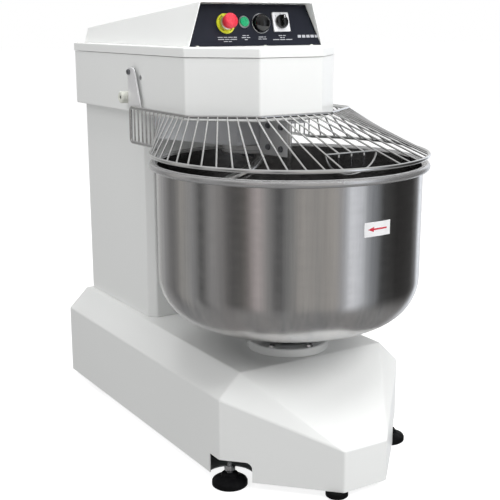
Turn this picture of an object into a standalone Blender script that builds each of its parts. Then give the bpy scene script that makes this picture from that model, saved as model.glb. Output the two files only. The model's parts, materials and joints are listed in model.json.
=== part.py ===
"""Floor-standing spiral dough mixer with a fixed head, in metres: X right, Y back, Z up, front facing -Y.

Sizes below are millimetres, and places are measured from the bowl's axis and the floor. to_world() turns
them into metres about the middle of the machine's footprint.
"""

import math

import bmesh
import bpy
from mathutils import Vector

MM = 0.001
AXIS_TO_CENTRE = 197.4  # the bowl's axis stands this far in front of the footprint's middle
GAP = 0.35  # clearance between neighbouring pieces
SHEET = 2.5  # enamelled steel sheet
OVER = 20.0  # how far a cutter runs past what it cuts

# Base
BASE_HALF, BASE_REAR, BASE_BOTTOM = 230.2, 686.4, 15.5
BASE_SIDE_TOP, BASE_TOP, BASE_TOP_HALF = 186.2, 235.0, 179.8
CORNER_Y, NOSE_Y, NOSE_HALF, NOSE_TOP = -94.5, -279.5, 53.0, 103.4
NOTCH_TOP, NOTCH_BACK, NOTCH_ALONG, NOTCH_ROUND = 58.0, -56.5, 69.0, 14.0
FLOOR_PLATE = (16.0, 18.5)
CHASSIS = (92.0, 100.0)

# Feet and wheels
FOOT_X, FOOT_Y, FOOT_CLEARANCE = 207.5, -98.3, 51.0
PAD_RADIUS, SPINDLE_RADIUS, SPINDLE_TOP = 37.0, 6.0, 114.0
NUT_ACROSS, NUT_BOTTOM, NUT_TOP = 18.0, 31.5, 43.5
NOSE_FOOT, NOSE_FOOT_BOTTOM = (-55.0, -258.0, 0.0), 0.5
WHEEL_X, WHEEL_Y, WHEEL_RADIUS, WHEEL_WIDTH = 196.0, 545.0, 40.0, 26.0

# Column, head and hood
COLUMN_HALF, COLUMN_FRONT, COLUMN_REAR, COLUMN_CHAMFER = 164.7, 334.6, 675.0, 17.0
HEAD_HALF, HEAD_REAR, HEAD_CORNER_Y = 189.6, 679.9, 103.5
HEAD_FRONT_HALF, HEAD_FRONT_Y, HEAD_BOTTOM, HEAD_TOP = 77.7, -8.4, 721.8, 849.8
LID_BOTTOM, LID_TOP, LID_OVERHANG = 850.7, 870.5, 1.5
HOOD_FRONT, HOOD_REAR, HOOD_HALF = 120.5, 666.0, 169.0
HOOD_TOP_FRONT, HOOD_TOP_FRONT_HALF, HOOD_TOP_REAR, HOOD_TOP_REAR_HALF = 962.3, 140.5, 907.0, 157.6
PANEL_FOOT_Y, PANEL_HEAD_Y, PANEL_FOOT_Z, PANEL_HEAD_Z, PANEL_THICKNESS = 122.2, 146.7, 871.7, 956.5, 2.5

# Controls: place across the panel and height along its slope
ESTOP_AT, START_AT, JOG_AT, SWITCH_AT = (-72.5, 47.0), (-26.5, 50.5), (14.8, 47.0), (66.5, 49.7)
BUTTON_HOLE = 11.2

# Bowl and its drive
BOWL_RADIUS, BOWL_WALL, BOWL_BOTTOM, BOWL_CORNER, RIM_HEIGHT, RIM_TUBE = 277.0, 2.5, 303.0, 100.0, 634.2, 7.5
COLLAR_RADIUS, COLLAR_TOP = 88.0, 253.0
BOWL_SHAFT, BOWL_BEARING = 30.0, 55.0
BOWL_PULLEY, BOWL_PULLEY_Z = 105.0, (108.0, 130.0)
GEARMOTOR_Y, GEARMOTOR_RADIUS, BOWL_MOTOR_PULLEY = 412.0, 60.0, 38.0

# Spiral and its drive
SPIRAL_Y, SPIRAL_RADIUS, SPIRAL_BAR, SPIRAL_LOW = 166.0, 86.0, 13.0, 338.0
FLANGE_RADIUS, FLANGE_Z = 56.0, (641.0, 659.6)
SPIRAL_SHAFT, SPIRAL_BEARING = 20.0, 40.0
SPIRAL_PULLEY, SPIRAL_PULLEY_Z = 125.0, (774.0, 802.0)
MOTOR_Y, MOTOR_RADIUS, MOTOR_FLANGE, MOTOR_PULLEY = 540.0, 86.0, 120.0, 42.0
SKIRT_BOTTOM, SKIRT_FRONT_Y, SKIRT_FRONT_HALF, SKIRT_BACK_HALF = 661.6, 108.5, 62.0, 146.0

# Dough breaker
BREAKER_THICKNESS, BREAKER_BACK, BREAKER_PLATE_BOTTOM = 10.0, 106.0, 641.0
BREAKER_ROD, BREAKER_ROD_Y = 4.8, -1.5
BREAKER_LOW, BREAKER_BOLTS_Y, BREAKER_BOLTS_Z = 326.0, (22.0, 71.0), (660.0, 706.0)

# Bowl guard
GUARD_ROD, GUARD_WIRE, GUARD_RING, GUARD_RING_Z, GUARD_TOP_Z = 3.75, 2.0, 288.0, 657.5, 735.0
GUARD_SIDE, GUARD_REAR_Y, GUARD_BEND_Y, GUARD_FRONT_HALF, GUARD_FRONT_Y = 203.5, 333.0, 66.0, 88.0, -26.0
WIRE_PITCH, STRAIGHT_WIRES = 19.7, 6
FEED_STEPS = 2  # the feed opening reaches this many wires to each side of the middle one
FEED_BAR, FEED_GAP, FEED_DROP = 0.73, 5.0, 42.0  # the bar's place down those wires, the hoop's top and bottom
PIVOT_Y, PIVOT_Z, PIVOT_RADIUS = 340.0, 812.0, 5.0
BRACKET_X = (197.4, 201.4)
STOP_Y, STOP_Z, STOP_RADIUS, STOP_TIP = 362.2, 755.0, 13.5, 214.5

COLOURS = {  # base colour, metallic, roughness
    "white_enamel": ((0.80, 0.81, 0.80), 0.0, 0.32),
    "stainless": ((0.58, 0.57, 0.56), 1.0, 0.25),
    "polished_steel": ((0.72, 0.72, 0.72), 1.0, 0.12),
    "zinc_steel": ((0.55, 0.56, 0.57), 1.0, 0.35),
    "dark_steel": ((0.06, 0.06, 0.065), 0.6, 0.5),
    "aluminium": ((0.66, 0.66, 0.65), 1.0, 0.4),
    "panel_navy": ((0.018, 0.019, 0.032), 0.0, 0.45),
    "black_rubber": ((0.012, 0.012, 0.013), 0.0, 0.75),
    "black_plastic": ((0.01, 0.01, 0.011), 0.0, 0.18),
    "white_plastic": ((0.75, 0.76, 0.70), 0.0, 0.45),
    "red_plastic": ((0.60, 0.03, 0.05), 0.0, 0.35),
    "green_plastic": ((0.0, 0.33, 0.12), 0.0, 0.35),
    "yellow_plastic": ((0.62, 0.62, 0.02), 0.0, 0.4),
    "blue_motor": ((0.05, 0.10, 0.22), 0.0, 0.5),
}


# ---------------------------------------------------------------------------------------------- helpers


def clear_scene():
    for thing in list(bpy.data.objects):
        bpy.data.objects.remove(thing, do_unlink=True)


def to_world(point):
    x, y, z = point
    return Vector((x * MM, (y - AXIS_TO_CENTRE) * MM, z * MM))


def add_object(name, shape, origin=(0.0, AXIS_TO_CENTRE, 0.0)):
    """Turns a bmesh in millimetres into an object whose origin stands at `origin`."""
    place = Vector(origin)
    bmesh.ops.remove_doubles(shape, verts=shape.verts, dist=1e-4)
    bmesh.ops.recalc_face_normals(shape, faces=shape.faces)
    for vert in shape.verts:
        vert.co = (vert.co - place) * MM
    mesh = bpy.data.meshes.new(name)
    shape.to_mesh(mesh)
    shape.free()
    thing = bpy.data.objects.new(name, mesh)
    thing.location = to_world(origin)
    bpy.context.scene.collection.objects.link(thing)
    return thing


def finish_piece(thing, finish, smooth=False):
    colour, metallic, roughness = COLOURS[finish]
    material = bpy.data.materials.new(f"{thing.name}_{finish}")
    material.use_nodes = True
    shader = material.node_tree.nodes["Principled BSDF"]
    shader.inputs["Base Color"].default_value = (*colour, 1.0)
    shader.inputs["Metallic"].default_value = metallic
    shader.inputs["Roughness"].default_value = roughness
    thing.data.materials.append(material)
    if smooth:
        thing.data.shade_smooth()
        thing.data.set_sharp_from_angle(angle=math.radians(32))
    return thing


def boolean(body, tools, operation):
    """Cuts tools from body, or joins them to it, with each tool kept as a hidden helper."""
    for tool in tools:
        tool.hide_render = True
        tool.display_type = "WIRE"
        step = body.modifiers.new(operation.title(), "BOOLEAN")
        step.operation = operation
        step.object = tool


def cut(body, *tools):
    boolean(body, tools, "DIFFERENCE")


def join(body, *tools):
    boolean(body, tools, "UNION")


def loft(first, second):
    """A closed solid between two loops of points."""
    shape = bmesh.new()
    low = [shape.verts.new(point) for point in first]
    high = [shape.verts.new(point) for point in second]
    shape.faces.new(low[::-1])
    shape.faces.new(high)
    for i in range(len(low)):
        j = (i + 1) % len(low)
        shape.faces.new((low[i], low[j], high[j], high[i]))
    return shape


def prism(outline, low, high):
    """An outline of (x, y) points carried from height low to height high."""
    return loft([(x, y, low) for x, y in outline], [(x, y, high) for x, y in outline])


def prism_x(outline, low, high):
    """An outline of (y, z) points carried along X."""
    return loft([(low, y, z) for y, z in outline], [(high, y, z) for y, z in outline])


def box(low, high):
    (x0, y0, z0), (x1, y1, z1) = low, high
    return prism([(x0, y0), (x1, y0), (x1, y1), (x0, y1)], z0, z1)


def hull(points):
    shape = bmesh.new()
    for point in points:
        shape.verts.new(point)
    bmesh.ops.convex_hull(shape, input=shape.verts)
    return shape


def lathe(profile, centre, axis=(0, 0, 1), sides=32):
    """Turns a closed profile of (radius, height) about an axis through centre."""
    along = Vector(axis).normalized()
    across = along.orthogonal().normalized()
    third = along.cross(across)
    shape = bmesh.new()
    rings = []
    for i in range(sides):
        angle = 2 * math.pi * (i + 0.5) / sides
        out = across * math.cos(angle) + third * math.sin(angle)
        rings.append([shape.verts.new(Vector(centre) + out * r + along * h) for r, h in profile])
    for i in range(sides):
        ring, following = rings[i], rings[(i + 1) % sides]
        for j in range(len(profile)):
            k = (j + 1) % len(profile)
            if profile[j][0] > 0 or profile[k][0] > 0:
                shape.faces.new((ring[j], following[j], following[k], ring[k]))
    bmesh.ops.remove_doubles(shape, verts=shape.verts, dist=1e-4)
    return shape


def disc(radius, low, high, centre=(0, 0), axis=(0, 0, 1), sides=32):
    base = (*centre, 0.0) if len(centre) == 2 else centre
    return lathe([(0, low), (radius, low), (radius, high), (0, high)], base, axis, sides)


def tube(path, radius, sides=8, closed=False):
    """A round bar along a path, with mitred bends."""
    points = [Vector(point) for point in path]
    count = len(points)
    shape = bmesh.new()
    rings = []
    first = (points[1] - points[0]).normalized()
    up = first.orthogonal().normalized()
    for i, point in enumerate(points):
        before = points[i] - points[i - 1] if i or closed else points[1] - points[0]
        after = points[(i + 1) % count] - points[i] if i < count - 1 or closed else before
        before, after = before.normalized(), after.normalized()
        up = (up - before * up.dot(before)).normalized()
        side = before.cross(up)
        mitre = (before + after).normalized()
        ring = []
        for k in range(sides):
            angle = 2 * math.pi * (k + 0.5) / sides
            offset = (up * math.cos(angle) + side * math.sin(angle)) * radius
            offset -= before * (offset.dot(mitre) / before.dot(mitre))
            ring.append(shape.verts.new(point + offset))
        rings.append(ring)
    spans = count if closed else count - 1
    for i in range(spans):
        here, there = rings[i], rings[(i + 1) % count]
        turn = best_turn(here, there) if closed and i == count - 1 else 0
        for k in range(sides):
            m = (k + 1) % sides
            shape.faces.new((here[k], here[m], there[(m + turn) % sides], there[(k + turn) % sides]))
    if not closed:
        shape.faces.new(rings[0][::-1])
        shape.faces.new(rings[-1])
    return shape


def best_turn(here, there):
    """How far to turn the last ring so that a closed tube meets itself without a twist."""
    sides = len(here)

    def twist(turn):
        return sum((here[k].co - there[(k + turn) % sides].co).length for k in range(sides))

    return min(range(sides), key=twist)


def arc(centre, radius, start, end, steps):
    """Points on a flat arc, angles in degrees."""
    found = []
    for i in range(steps + 1):
        angle = math.radians(start + (end - start) * i / steps)
        found.append((centre[0] + radius * math.cos(angle), centre[1] + radius * math.sin(angle)))
    return found


def mirrored(points):
    """A half outline at -X followed by its mirror image at +X."""
    return list(points) + [(-x, y) for x, y in reversed(points)]


def hexagon(across_flats, low, high, centre, axis=(0, 0, 1)):
    return disc(across_flats / math.sqrt(3), low, high, centre, axis, sides=6)


def sides_of(name):
    """The left and the right copy of a piece: its name and the sign of its X."""
    return ((f"{name}_left", -1), (f"{name}_right", 1))


# ------------------------------------------------------------------------------------------------- base


def base_outline(inset):
    return mirrored([
        (-BASE_HALF + inset, BASE_REAR - inset),
        (-BASE_HALF + inset, CORNER_Y + 0.41 * inset),
        (-NOSE_HALF + 0.38 * inset, NOSE_Y + inset),
    ])


def base_solid(inset, bottom):
    """The arrow-shaped base: upright sides, a sloping band above them, three slopes on the nose."""
    side_top = BASE_SIDE_TOP - 0.41 * inset
    top = BASE_TOP - inset
    points = [(x, y, bottom) for x, y in base_outline(inset)]
    for sign in (-1, 1):
        half, top_half = sign * (BASE_HALF - inset), sign * (BASE_TOP_HALF - 0.41 * inset)
        points += [(half, BASE_REAR - inset, side_top), (half, CORNER_Y + 0.41 * inset, side_top)]
        points += [(top_half, BASE_REAR - inset, top), (top_half, CORNER_Y + 0.7 * inset, top)]
        points.append((sign * (NOSE_HALF - 0.38 * inset), NOSE_Y + inset, NOSE_TOP - 0.7 * inset))
    return hull(points)


def notch_cutter(sign):
    """The rounded cut-out at a front corner that leaves room for a levelling foot."""
    slope = Vector((BASE_HALF - NOSE_HALF, NOSE_Y - CORNER_Y, 0)).normalized()
    along = slope * NOTCH_ALONG
    outward = Vector((slope.y, -slope.x, 0)) * OVER
    corner = Vector((-BASE_HALF, CORNER_Y, 0))
    end = corner + along
    quarter = arc((0, 0), NOTCH_ROUND, 0, 90, 4)
    rounded = [(NOTCH_ROUND - across, NOTCH_TOP - NOTCH_ROUND + rise) for across, rise in quarter]
    face = [(end, BASE_BOTTOM - OVER)] + [(end - slope * s, z) for s, z in rounded]
    face += [(corner + slope * 2, NOTCH_TOP), (corner + slope * 2, BASE_BOTTOM - OVER)]
    front = loft(
        [tuple(p + outward + Vector((0, 0, z))) for p, z in face],
        [tuple(p - outward + Vector((0, 0, z))) for p, z in face],
    )
    side_low = (-BASE_HALF - OVER, CORNER_Y - OVER, BASE_BOTTOM - OVER)
    side = box(side_low, (-BASE_HALF + 12, NOTCH_BACK, NOTCH_TOP))
    cutters = []
    for part, shape in (("front", front), ("side", side)):
        for vert in shape.verts:
            vert.co.x *= -sign
        cutters.append(add_object(f"cut_notch_{part}_{sign}", shape))
    return cutters


def make_base_casing():
    casing = add_object("base_casing", base_solid(0, BASE_BOTTOM))
    cut(casing, add_object("cut_base_inside", base_solid(SHEET, BASE_BOTTOM - OVER)))
    for sign in (-1, 1):
        cut(casing, *notch_cutter(sign))
    cut(casing, add_object("cut_bowl_bearing", disc(74, BASE_TOP - OVER, BASE_TOP + OVER, sides=32)))
    drive = box((-110, 346, BASE_TOP - OVER), (110, 640, BASE_TOP + OVER))
    cut(casing, add_object("cut_base_drive", drive))
    return finish_piece(casing, "white_enamel")


def make_floor_plate():
    low, high = FLOOR_PLATE
    plate = add_object("floor_plate", prism(base_outline(SHEET + 0.7), low, high))
    for sign in (-1, 1):
        foot = disc(FOOT_CLEARANCE, low - OVER, high + OVER, (sign * FOOT_X, FOOT_Y), sides=24)
        cut(plate, add_object(f"cut_foot_{sign}", foot))
        side = sign * WHEEL_X
        room = box((side - 24, WHEEL_Y - 50, low - OVER), (side + 24, WHEEL_Y + 50, high + OVER))
        cut(plate, add_object(f"cut_wheel_{sign}", room))
    return finish_piece(plate, "dark_steel")


def make_chassis():
    """The welded frame inside the base: a deck, two webs and the shelf that carries the bowl's gearmotor."""
    low, high = CHASSIS
    half = BASE_HALF - SHEET - 1.0
    deck = [(-half, BASE_REAR - 6), (-half, CORNER_Y + 2), (-170, -150)]
    chassis = add_object("base_chassis", prism(mirrored(deck), low, high))
    for sign in (-1, 1):
        web = box((sign * 122 - 3, -120, FLOOR_PLATE[1] + GAP), (sign * 122 + 3, 640, low + 2))
        leg = box((sign * 94 - 3, GEARMOTOR_Y - 58, high - 2), (sign * 94 + 3, GEARMOTOR_Y + 58, 136))
        join(chassis, add_object(f"add_web_{sign}", web), add_object(f"add_leg_{sign}", leg))
    shelf = box((-97, GEARMOTOR_Y - 58, 134), (97, GEARMOTOR_Y + 58, 139.5))
    join(chassis, add_object("add_shelf", shelf))
    cut(chassis, add_object("cut_shelf", disc(18, 120, 150, (0, GEARMOTOR_Y), sides=20)))
    for sign in (-1, 1):
        hole = disc(SPINDLE_RADIUS + 0.4, low - OVER, high + OVER, (sign * FOOT_X, FOOT_Y), sides=16)
        cut(chassis, add_object(f"cut_spindle_{sign}", hole))
    return finish_piece(chassis, "dark_steel")


def make_feet():
    """Levelling feet: a moulded pad, a threaded spindle that stands in it, and a lock nut on the spindle."""
    pad = [(0, 0), (PAD_RADIUS - 1, 0), (PAD_RADIUS, 1.5), (PAD_RADIUS, 6), (32, 12.5), (19, 18.5)]
    pad += [(15.2, 21.5), (14.6, 28), (SPINDLE_RADIUS + GAP, 28), (SPINDLE_RADIUS + GAP, 8), (0, 8)]
    for name, sign in sides_of("levelling"):
        centre = (sign * FOOT_X, FOOT_Y, 0)
        foot = add_object(f"{name}_pad", lathe(pad, centre, sides=24), centre)
        finish_piece(foot, "black_rubber", smooth=True)
        rod = disc(SPINDLE_RADIUS, 8 + GAP, SPINDLE_TOP, centre, sides=14)
        finish_piece(add_object(f"{name}_spindle", rod, centre), "zinc_steel", smooth=True)
        nut = add_object(f"{name}_nut", hexagon(NUT_ACROSS, NUT_BOTTOM, NUT_TOP, centre), centre)
        bore = disc(SPINDLE_RADIUS + GAP, NUT_BOTTOM - 5, NUT_TOP + 5, centre, sides=14)
        cut(nut, add_object(f"cut_{name}_nut", bore))
        finish_piece(nut, "zinc_steel")


def make_nose_foot():
    """The one rubber foot under the nose, at its left corner."""
    low, rest, high = NOSE_FOOT_BOTTOM, BASE_BOTTOM - GAP, FLOOR_PLATE[0] - GAP
    profile = [(0, low), (14, low), (19, low + 2.5), (22.5, low + 8), (23, rest), (10, rest)]
    profile += [(10, high), (0, high)]
    foot = lathe(profile, NOSE_FOOT, sides=24)
    finish_piece(add_object("nose_foot", foot), "black_rubber", smooth=True)


def make_wheels():
    """Fixed rear wheels: a fork of folded strip, its axle, and a rubber wheel that runs on the axle."""
    half = WHEEL_WIDTH / 2
    rim = [(6.4, -half), (30, -half), (37, -half + 1), (WHEEL_RADIUS, -half + 5)]
    rim += [(WHEEL_RADIUS, half - 5), (37, half - 1), (30, half), (6.4, half)]
    for name, sign in sides_of("rear"):
        centre = (sign * WHEEL_X, WHEEL_Y, WHEEL_RADIUS)
        wheel = add_object(f"{name}_wheel", lathe(rim, centre, (1, 0, 0), sides=28), centre)
        finish_piece(wheel, "black_rubber", smooth=True)
        x, y, z = centre
        fork = add_object(f"{name}_wheel_fork", box((x - 20, y - 34, 83), (x + 20, y + 34, CHASSIS[0] - GAP)))
        for edge in (-1, 1):
            at = x + edge * (half + 3.2)
            cheek = [(y - 14, z - 12), (y + 14, z - 12), (y + 30, 85), (y - 30, 85)]
            join(fork, add_object(f"add_{name}_cheek_{edge}", prism_x(cheek, at - 1.6, at + 1.6)))
        axle = disc(6, -half - 5, half + 5, centre, (1, 0, 0), sides=14)
        join(fork, add_object(f"add_{name}_axle", axle))
        finish_piece(fork, "zinc_steel")


# ----------------------------------------------------------------------------------- column, head, hood


def column_outline(inset, rear):
    front = COLUMN_FRONT + inset
    chamfer = COLUMN_CHAMFER - 0.59 * inset
    half = COLUMN_HALF - inset
    return mirrored([(-half, rear), (-half, front + chamfer), (-half + chamfer, front)])


def make_column():
    low, high = BASE_TOP + GAP, HEAD_BOTTOM - GAP
    column = add_object("column_casing", prism(column_outline(0, COLUMN_REAR), low, high))
    inside = prism(column_outline(SHEET, COLUMN_REAR + OVER), low - OVER, high + OVER)
    cut(column, add_object("cut_column_inside", inside))
    return finish_piece(column, "white_enamel")


def make_rear_cover():
    """The screwed-on back of the column, with cooling slots for the motor."""
    low, high = BASE_TOP + 3, HEAD_BOTTOM - 3
    y = COLUMN_REAR + GAP
    cover = add_object("rear_cover", box((-COLUMN_HALF, y, low), (COLUMN_HALF, y + SHEET, high)))
    for row in range(7):
        z = 560 + 16 * row
        slot = box((-70, y - OVER, z), (70, y + OVER, z + 6))
        cut(cover, add_object(f"cut_slot_{row}", slot))
    return finish_piece(cover, "white_enamel")


def head_outline(offset):
    """The head in plan: straight sides and back, and a nose cut off at both corners. offset grows it."""
    return mirrored([
        (-HEAD_HALF - offset, HEAD_REAR + offset),
        (-HEAD_HALF - offset, HEAD_CORNER_Y - 0.41 * offset),
        (-HEAD_FRONT_HALF - 0.41 * offset, HEAD_FRONT_Y - offset),
    ])


def make_head():
    head = add_object("head_casing", prism(head_outline(0), HEAD_BOTTOM, HEAD_TOP))
    inside = prism(head_outline(-SHEET), HEAD_BOTTOM + SHEET, HEAD_TOP + OVER)
    bore = disc(53.5, HEAD_BOTTOM - OVER, HEAD_BOTTOM + OVER, (0, SPIRAL_Y), sides=28)
    passage = disc(MOTOR_RADIUS + 6, HEAD_BOTTOM - OVER, HEAD_BOTTOM + OVER, (0, MOTOR_Y), sides=28)
    cut(head, add_object("cut_head_inside", inside))
    cut(head, add_object("cut_head_bore", bore), add_object("cut_head_passage", passage))
    return finish_piece(head, "white_enamel")


def make_lid():
    lid = add_object("head_lid", prism(head_outline(LID_OVERHANG), LID_BOTTOM, LID_TOP))
    inside = prism(head_outline(LID_OVERHANG - SHEET), LID_BOTTOM - OVER, LID_TOP - SHEET)
    wiring = box((-110, 190, LID_TOP - OVER), (110, 600, LID_TOP + OVER))
    cut(lid, add_object("cut_lid_inside", inside), add_object("cut_lid_wiring", wiring))
    return finish_piece(lid, "white_enamel")


def hood_solid(inset, front, bottom):
    """A wedge that falls to the back, with sides that lean in."""
    lean = (HOOD_HALF - HOOD_TOP_FRONT_HALF) / (HOOD_TOP_FRONT - LID_TOP)
    fall = (HOOD_TOP_FRONT - HOOD_TOP_REAR) / (HOOD_REAR - HOOD_FRONT)
    rear = HOOD_REAR - inset
    points = []
    for y in (front, rear):
        top = HOOD_TOP_FRONT - fall * (y - HOOD_FRONT) - inset
        for z in (bottom, top):
            half = HOOD_HALF - lean * (z - LID_TOP) - inset
            points += [(-half, y, z), (half, y, z)]
    return hull(points)


def make_hood():
    bottom = LID_TOP + GAP
    hood = add_object("control_hood", hood_solid(0, HOOD_FRONT, bottom))
    inside = hood_solid(SHEET, HOOD_FRONT - OVER, bottom - OVER)
    cut(hood, add_object("cut_hood_inside", inside))
    return finish_piece(hood, "white_enamel")


def panel_frame():
    """The panel's foot, the direction up its slope, and its outward normal."""
    foot = Vector((0, PANEL_FOOT_Y, PANEL_FOOT_Z))
    rise = Vector((0, PANEL_HEAD_Y - PANEL_FOOT_Y, PANEL_HEAD_Z - PANEL_FOOT_Z))
    up = rise.normalized()
    return foot, up, Vector((0, -up.z, up.y)), rise.length


def on_panel(place, height=0.0):
    across, along = place
    foot, up, normal, _ = panel_frame()
    return foot + Vector((across, 0, 0)) + up * along + normal * height


def make_panel():
    foot, up, normal, length = panel_frame()
    lean = (HOOD_HALF - HOOD_TOP_FRONT_HALF) / (HOOD_TOP_FRONT - LID_TOP)
    points = []
    for along in (0.0, length):
        for depth in (0.0, -PANEL_THICKNESS):
            at = foot + up * along + normal * depth
            half = HOOD_HALF - lean * (at.z - LID_TOP) - SHEET - 0.6
            points += [(-half, at.y, at.z), (half, at.y, at.z)]
    panel = add_object("control_panel", hull(points))
    for i, place in enumerate((ESTOP_AT, START_AT, JOG_AT, SWITCH_AT)):
        hole = disc(BUTTON_HOLE, -OVER, OVER, on_panel(place), normal, sides=20)
        cut(panel, add_object(f"cut_control_{i}", hole))
    return finish_piece(panel, "panel_navy")


def ring_on_panel(name, place, inner, outer, thickness, finish, sides=28):
    """A flat collar that lies on the panel around a control."""
    profile = [(inner, GAP), (outer, GAP), (outer, thickness - 0.6), (outer - 0.8, thickness)]
    profile.append((inner, thickness))
    shape = lathe(profile, on_panel(place), panel_frame()[2], sides)
    return finish_piece(add_object(name, shape), finish, smooth=True)


def control_on_panel(name, place, profile, finish, sides=28):
    """A turned knob or button whose origin is on its own axis."""
    centre = on_panel(place)
    shape = lathe(profile, centre, panel_frame()[2], sides)
    return add_object(name, shape, tuple(centre)), finish


def make_controls():
    stem = BUTTON_HOLE - 0.5
    ring_on_panel("estop_ring", ESTOP_AT, stem + 0.4, 21.5, 3.5, "yellow_plastic")
    estop = [(0, -22), (stem, -22), (stem, 15), (14.5, 16.5), (16, 19)]
    estop += [(16, 25), (14.6, 27.8), (10, 29.2), (0, 30)]
    finish_piece(*control_on_panel("estop_button", ESTOP_AT, estop, "red_plastic"), smooth=True)

    ring_on_panel("start_bezel", START_AT, stem + 0.4, 13.2, 3.0, "aluminium")
    start = [(0, -20), (stem, -20), (stem, 4.4), (stem - 1, 5.6), (0, 5.8)]
    finish_piece(*control_on_panel("start_button", START_AT, start, "green_plastic"), smooth=True)

    ring_on_panel("jog_bezel", JOG_AT, stem + 0.4, 22.5, 3.0, "polished_steel")
    jog = [(0, -20), (stem, -20), (stem, 7.4), (18.2, 7.4), (19.4, 9.5)]
    jog += [(18.2, 13.5), (14.5, 17.5), (8, 20), (0, 21)]
    finish_piece(*control_on_panel("jog_button", JOG_AT, jog, "black_plastic"), smooth=True)

    make_switch(stem)


def make_switch(stem):
    """A cam switch: a square plate on the panel and a round knob with a raised grip across it."""
    _, up, normal, _ = panel_frame()
    side = Vector((1, 0, 0))
    centre = on_panel(SWITCH_AT)
    corners = [(-21, -21), (21, -21), (21, 21), (-21, 21)]

    def level(corners, height):
        return [tuple(centre + side * a + up * b + normal * height) for a, b in corners]

    plate = add_object("switch_plate", loft(level(corners, GAP), level(corners, 5.0)))
    cut(plate, add_object("cut_switch_plate", disc(stem + 0.4, -OVER, OVER, centre, normal, sides=20)))
    finish_piece(plate, "aluminium")
    profile = [(0, -22), (stem, -22), (stem, 5.5), (15, 5.5), (15, 11), (12.5, 13.5), (0, 13.5)]
    knob, finish = control_on_panel("switch_knob", SWITCH_AT, profile, "black_plastic")
    foot_corners = [(-4, -14), (4, -14), (4, 14), (-4, 14)]
    tip_corners = [(-3, -12), (3, -12), (3, 12), (-3, 12)]
    join(knob, add_object("add_grip", loft(level(foot_corners, 12), level(tip_corners, 21))))
    finish_piece(knob, finish)


# ----------------------------------------------------------------------------------------- bowl assembly


def bowl_profile():
    """The bowl's section as (radius, height): outside, rolled rim, inside."""
    corner_outer = arc((BOWL_RADIUS - BOWL_CORNER, BOWL_BOTTOM + BOWL_CORNER), BOWL_CORNER, -90, 0, 6)
    inner_radius = BOWL_CORNER - BOWL_WALL
    centre = (BOWL_RADIUS - BOWL_CORNER, BOWL_BOTTOM + BOWL_CORNER)
    corner_inner = arc(centre, inner_radius, 0, -90, 6)
    rim_centre = (BOWL_RADIUS + RIM_TUBE - 0.5, RIM_HEIGHT)
    rim = arc(rim_centre, RIM_TUBE, -125, 150, 7)
    inside = [(BOWL_RADIUS - BOWL_WALL, RIM_HEIGHT + 1)] + corner_inner
    return [(0, BOWL_BOTTOM)] + corner_outer + rim + inside + [(0, BOWL_BOTTOM + BOWL_WALL)]


def make_bowl():
    axis = (0, 0, 0)
    finish_piece(add_object("bowl", lathe(bowl_profile(), axis, sides=44), axis), "stainless", smooth=True)
    top = BOWL_BOTTOM - GAP
    plate = [(0, 294), (153, 294), (155, 296), (155, top), (0, top)]
    finish_piece(add_object("bowl_plate", lathe(plate, axis, sides=36), axis), "stainless", smooth=True)
    top = 294 - GAP
    hub = [(0, 112), (BOWL_SHAFT, 112), (BOWL_SHAFT, 256.5), (62, 256.5), (62, 286), (72, 286)]
    hub += [(72, top), (0, top)]
    finish_piece(add_object("bowl_hub", lathe(hub, axis, sides=28), axis), "dark_steel", smooth=True)


def make_bowl_bearing():
    collar = [(BOWL_BEARING + GAP, 140), (72, 140), (72, BASE_TOP + GAP), (COLLAR_RADIUS, BASE_TOP + GAP)]
    collar += [(COLLAR_RADIUS, COLLAR_TOP - 1), (COLLAR_RADIUS - 1, COLLAR_TOP), (34, COLLAR_TOP), (34, 246)]
    collar += [(BOWL_BEARING + GAP, 246)]
    piece = add_object("bowl_collar", lathe(collar, (0, 0, 0), sides=36))
    finish_piece(piece, "white_enamel", smooth=True)
    inner, outer, low, high = BOWL_SHAFT + GAP, BOWL_BEARING, 142, 245
    ring = [(inner, low), (outer, low), (outer, low + 24), (47, low + 24), (47, high - 24)]
    ring += [(outer, high - 24), (outer, high), (inner, high)]
    piece = add_object("bowl_bearing", lathe(ring, (0, 0, 0), sides=24))
    finish_piece(piece, "zinc_steel", smooth=True)


def pulley(name, radius, height, shaft, centre, finish="aluminium", sides=32):
    """A belt pulley with a web and a boss; it is turned from one blank."""
    low, high = height
    middle = (low + high) / 2
    bore = shaft + GAP
    boss = shaft + 14
    profile = [(bore, low), (boss, low), (boss, middle - 4), (radius - 12, middle - 4), (radius - 12, low)]
    profile += [(radius, low), (radius, high), (radius - 12, high), (radius - 12, middle + 4)]
    profile += [(boss, middle + 4), (boss, high), (bore, high)]
    piece = add_object(name, lathe(profile, (*centre, 0), sides=sides), (*centre, 0))
    return finish_piece(piece, finish, smooth=True)


def motor_pulley(name, radius, height, shaft, shaft_ends, centre):
    """A small pulley with the motor shaft that it is keyed to."""
    low, high = height
    first, last = shaft_ends
    profile = [(0, first), (shaft, first)]
    if first < low:
        profile += [(shaft, low), (radius, low), (radius, high), (0, high)]
    else:
        profile = [(0, low), (radius, low), (radius, high), (shaft, high), (shaft, last), (0, last)]
    piece = add_object(name, lathe(profile, (*centre, 0), sides=24), (*centre, 0))
    return finish_piece(piece, "aluminium", smooth=True)


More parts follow.
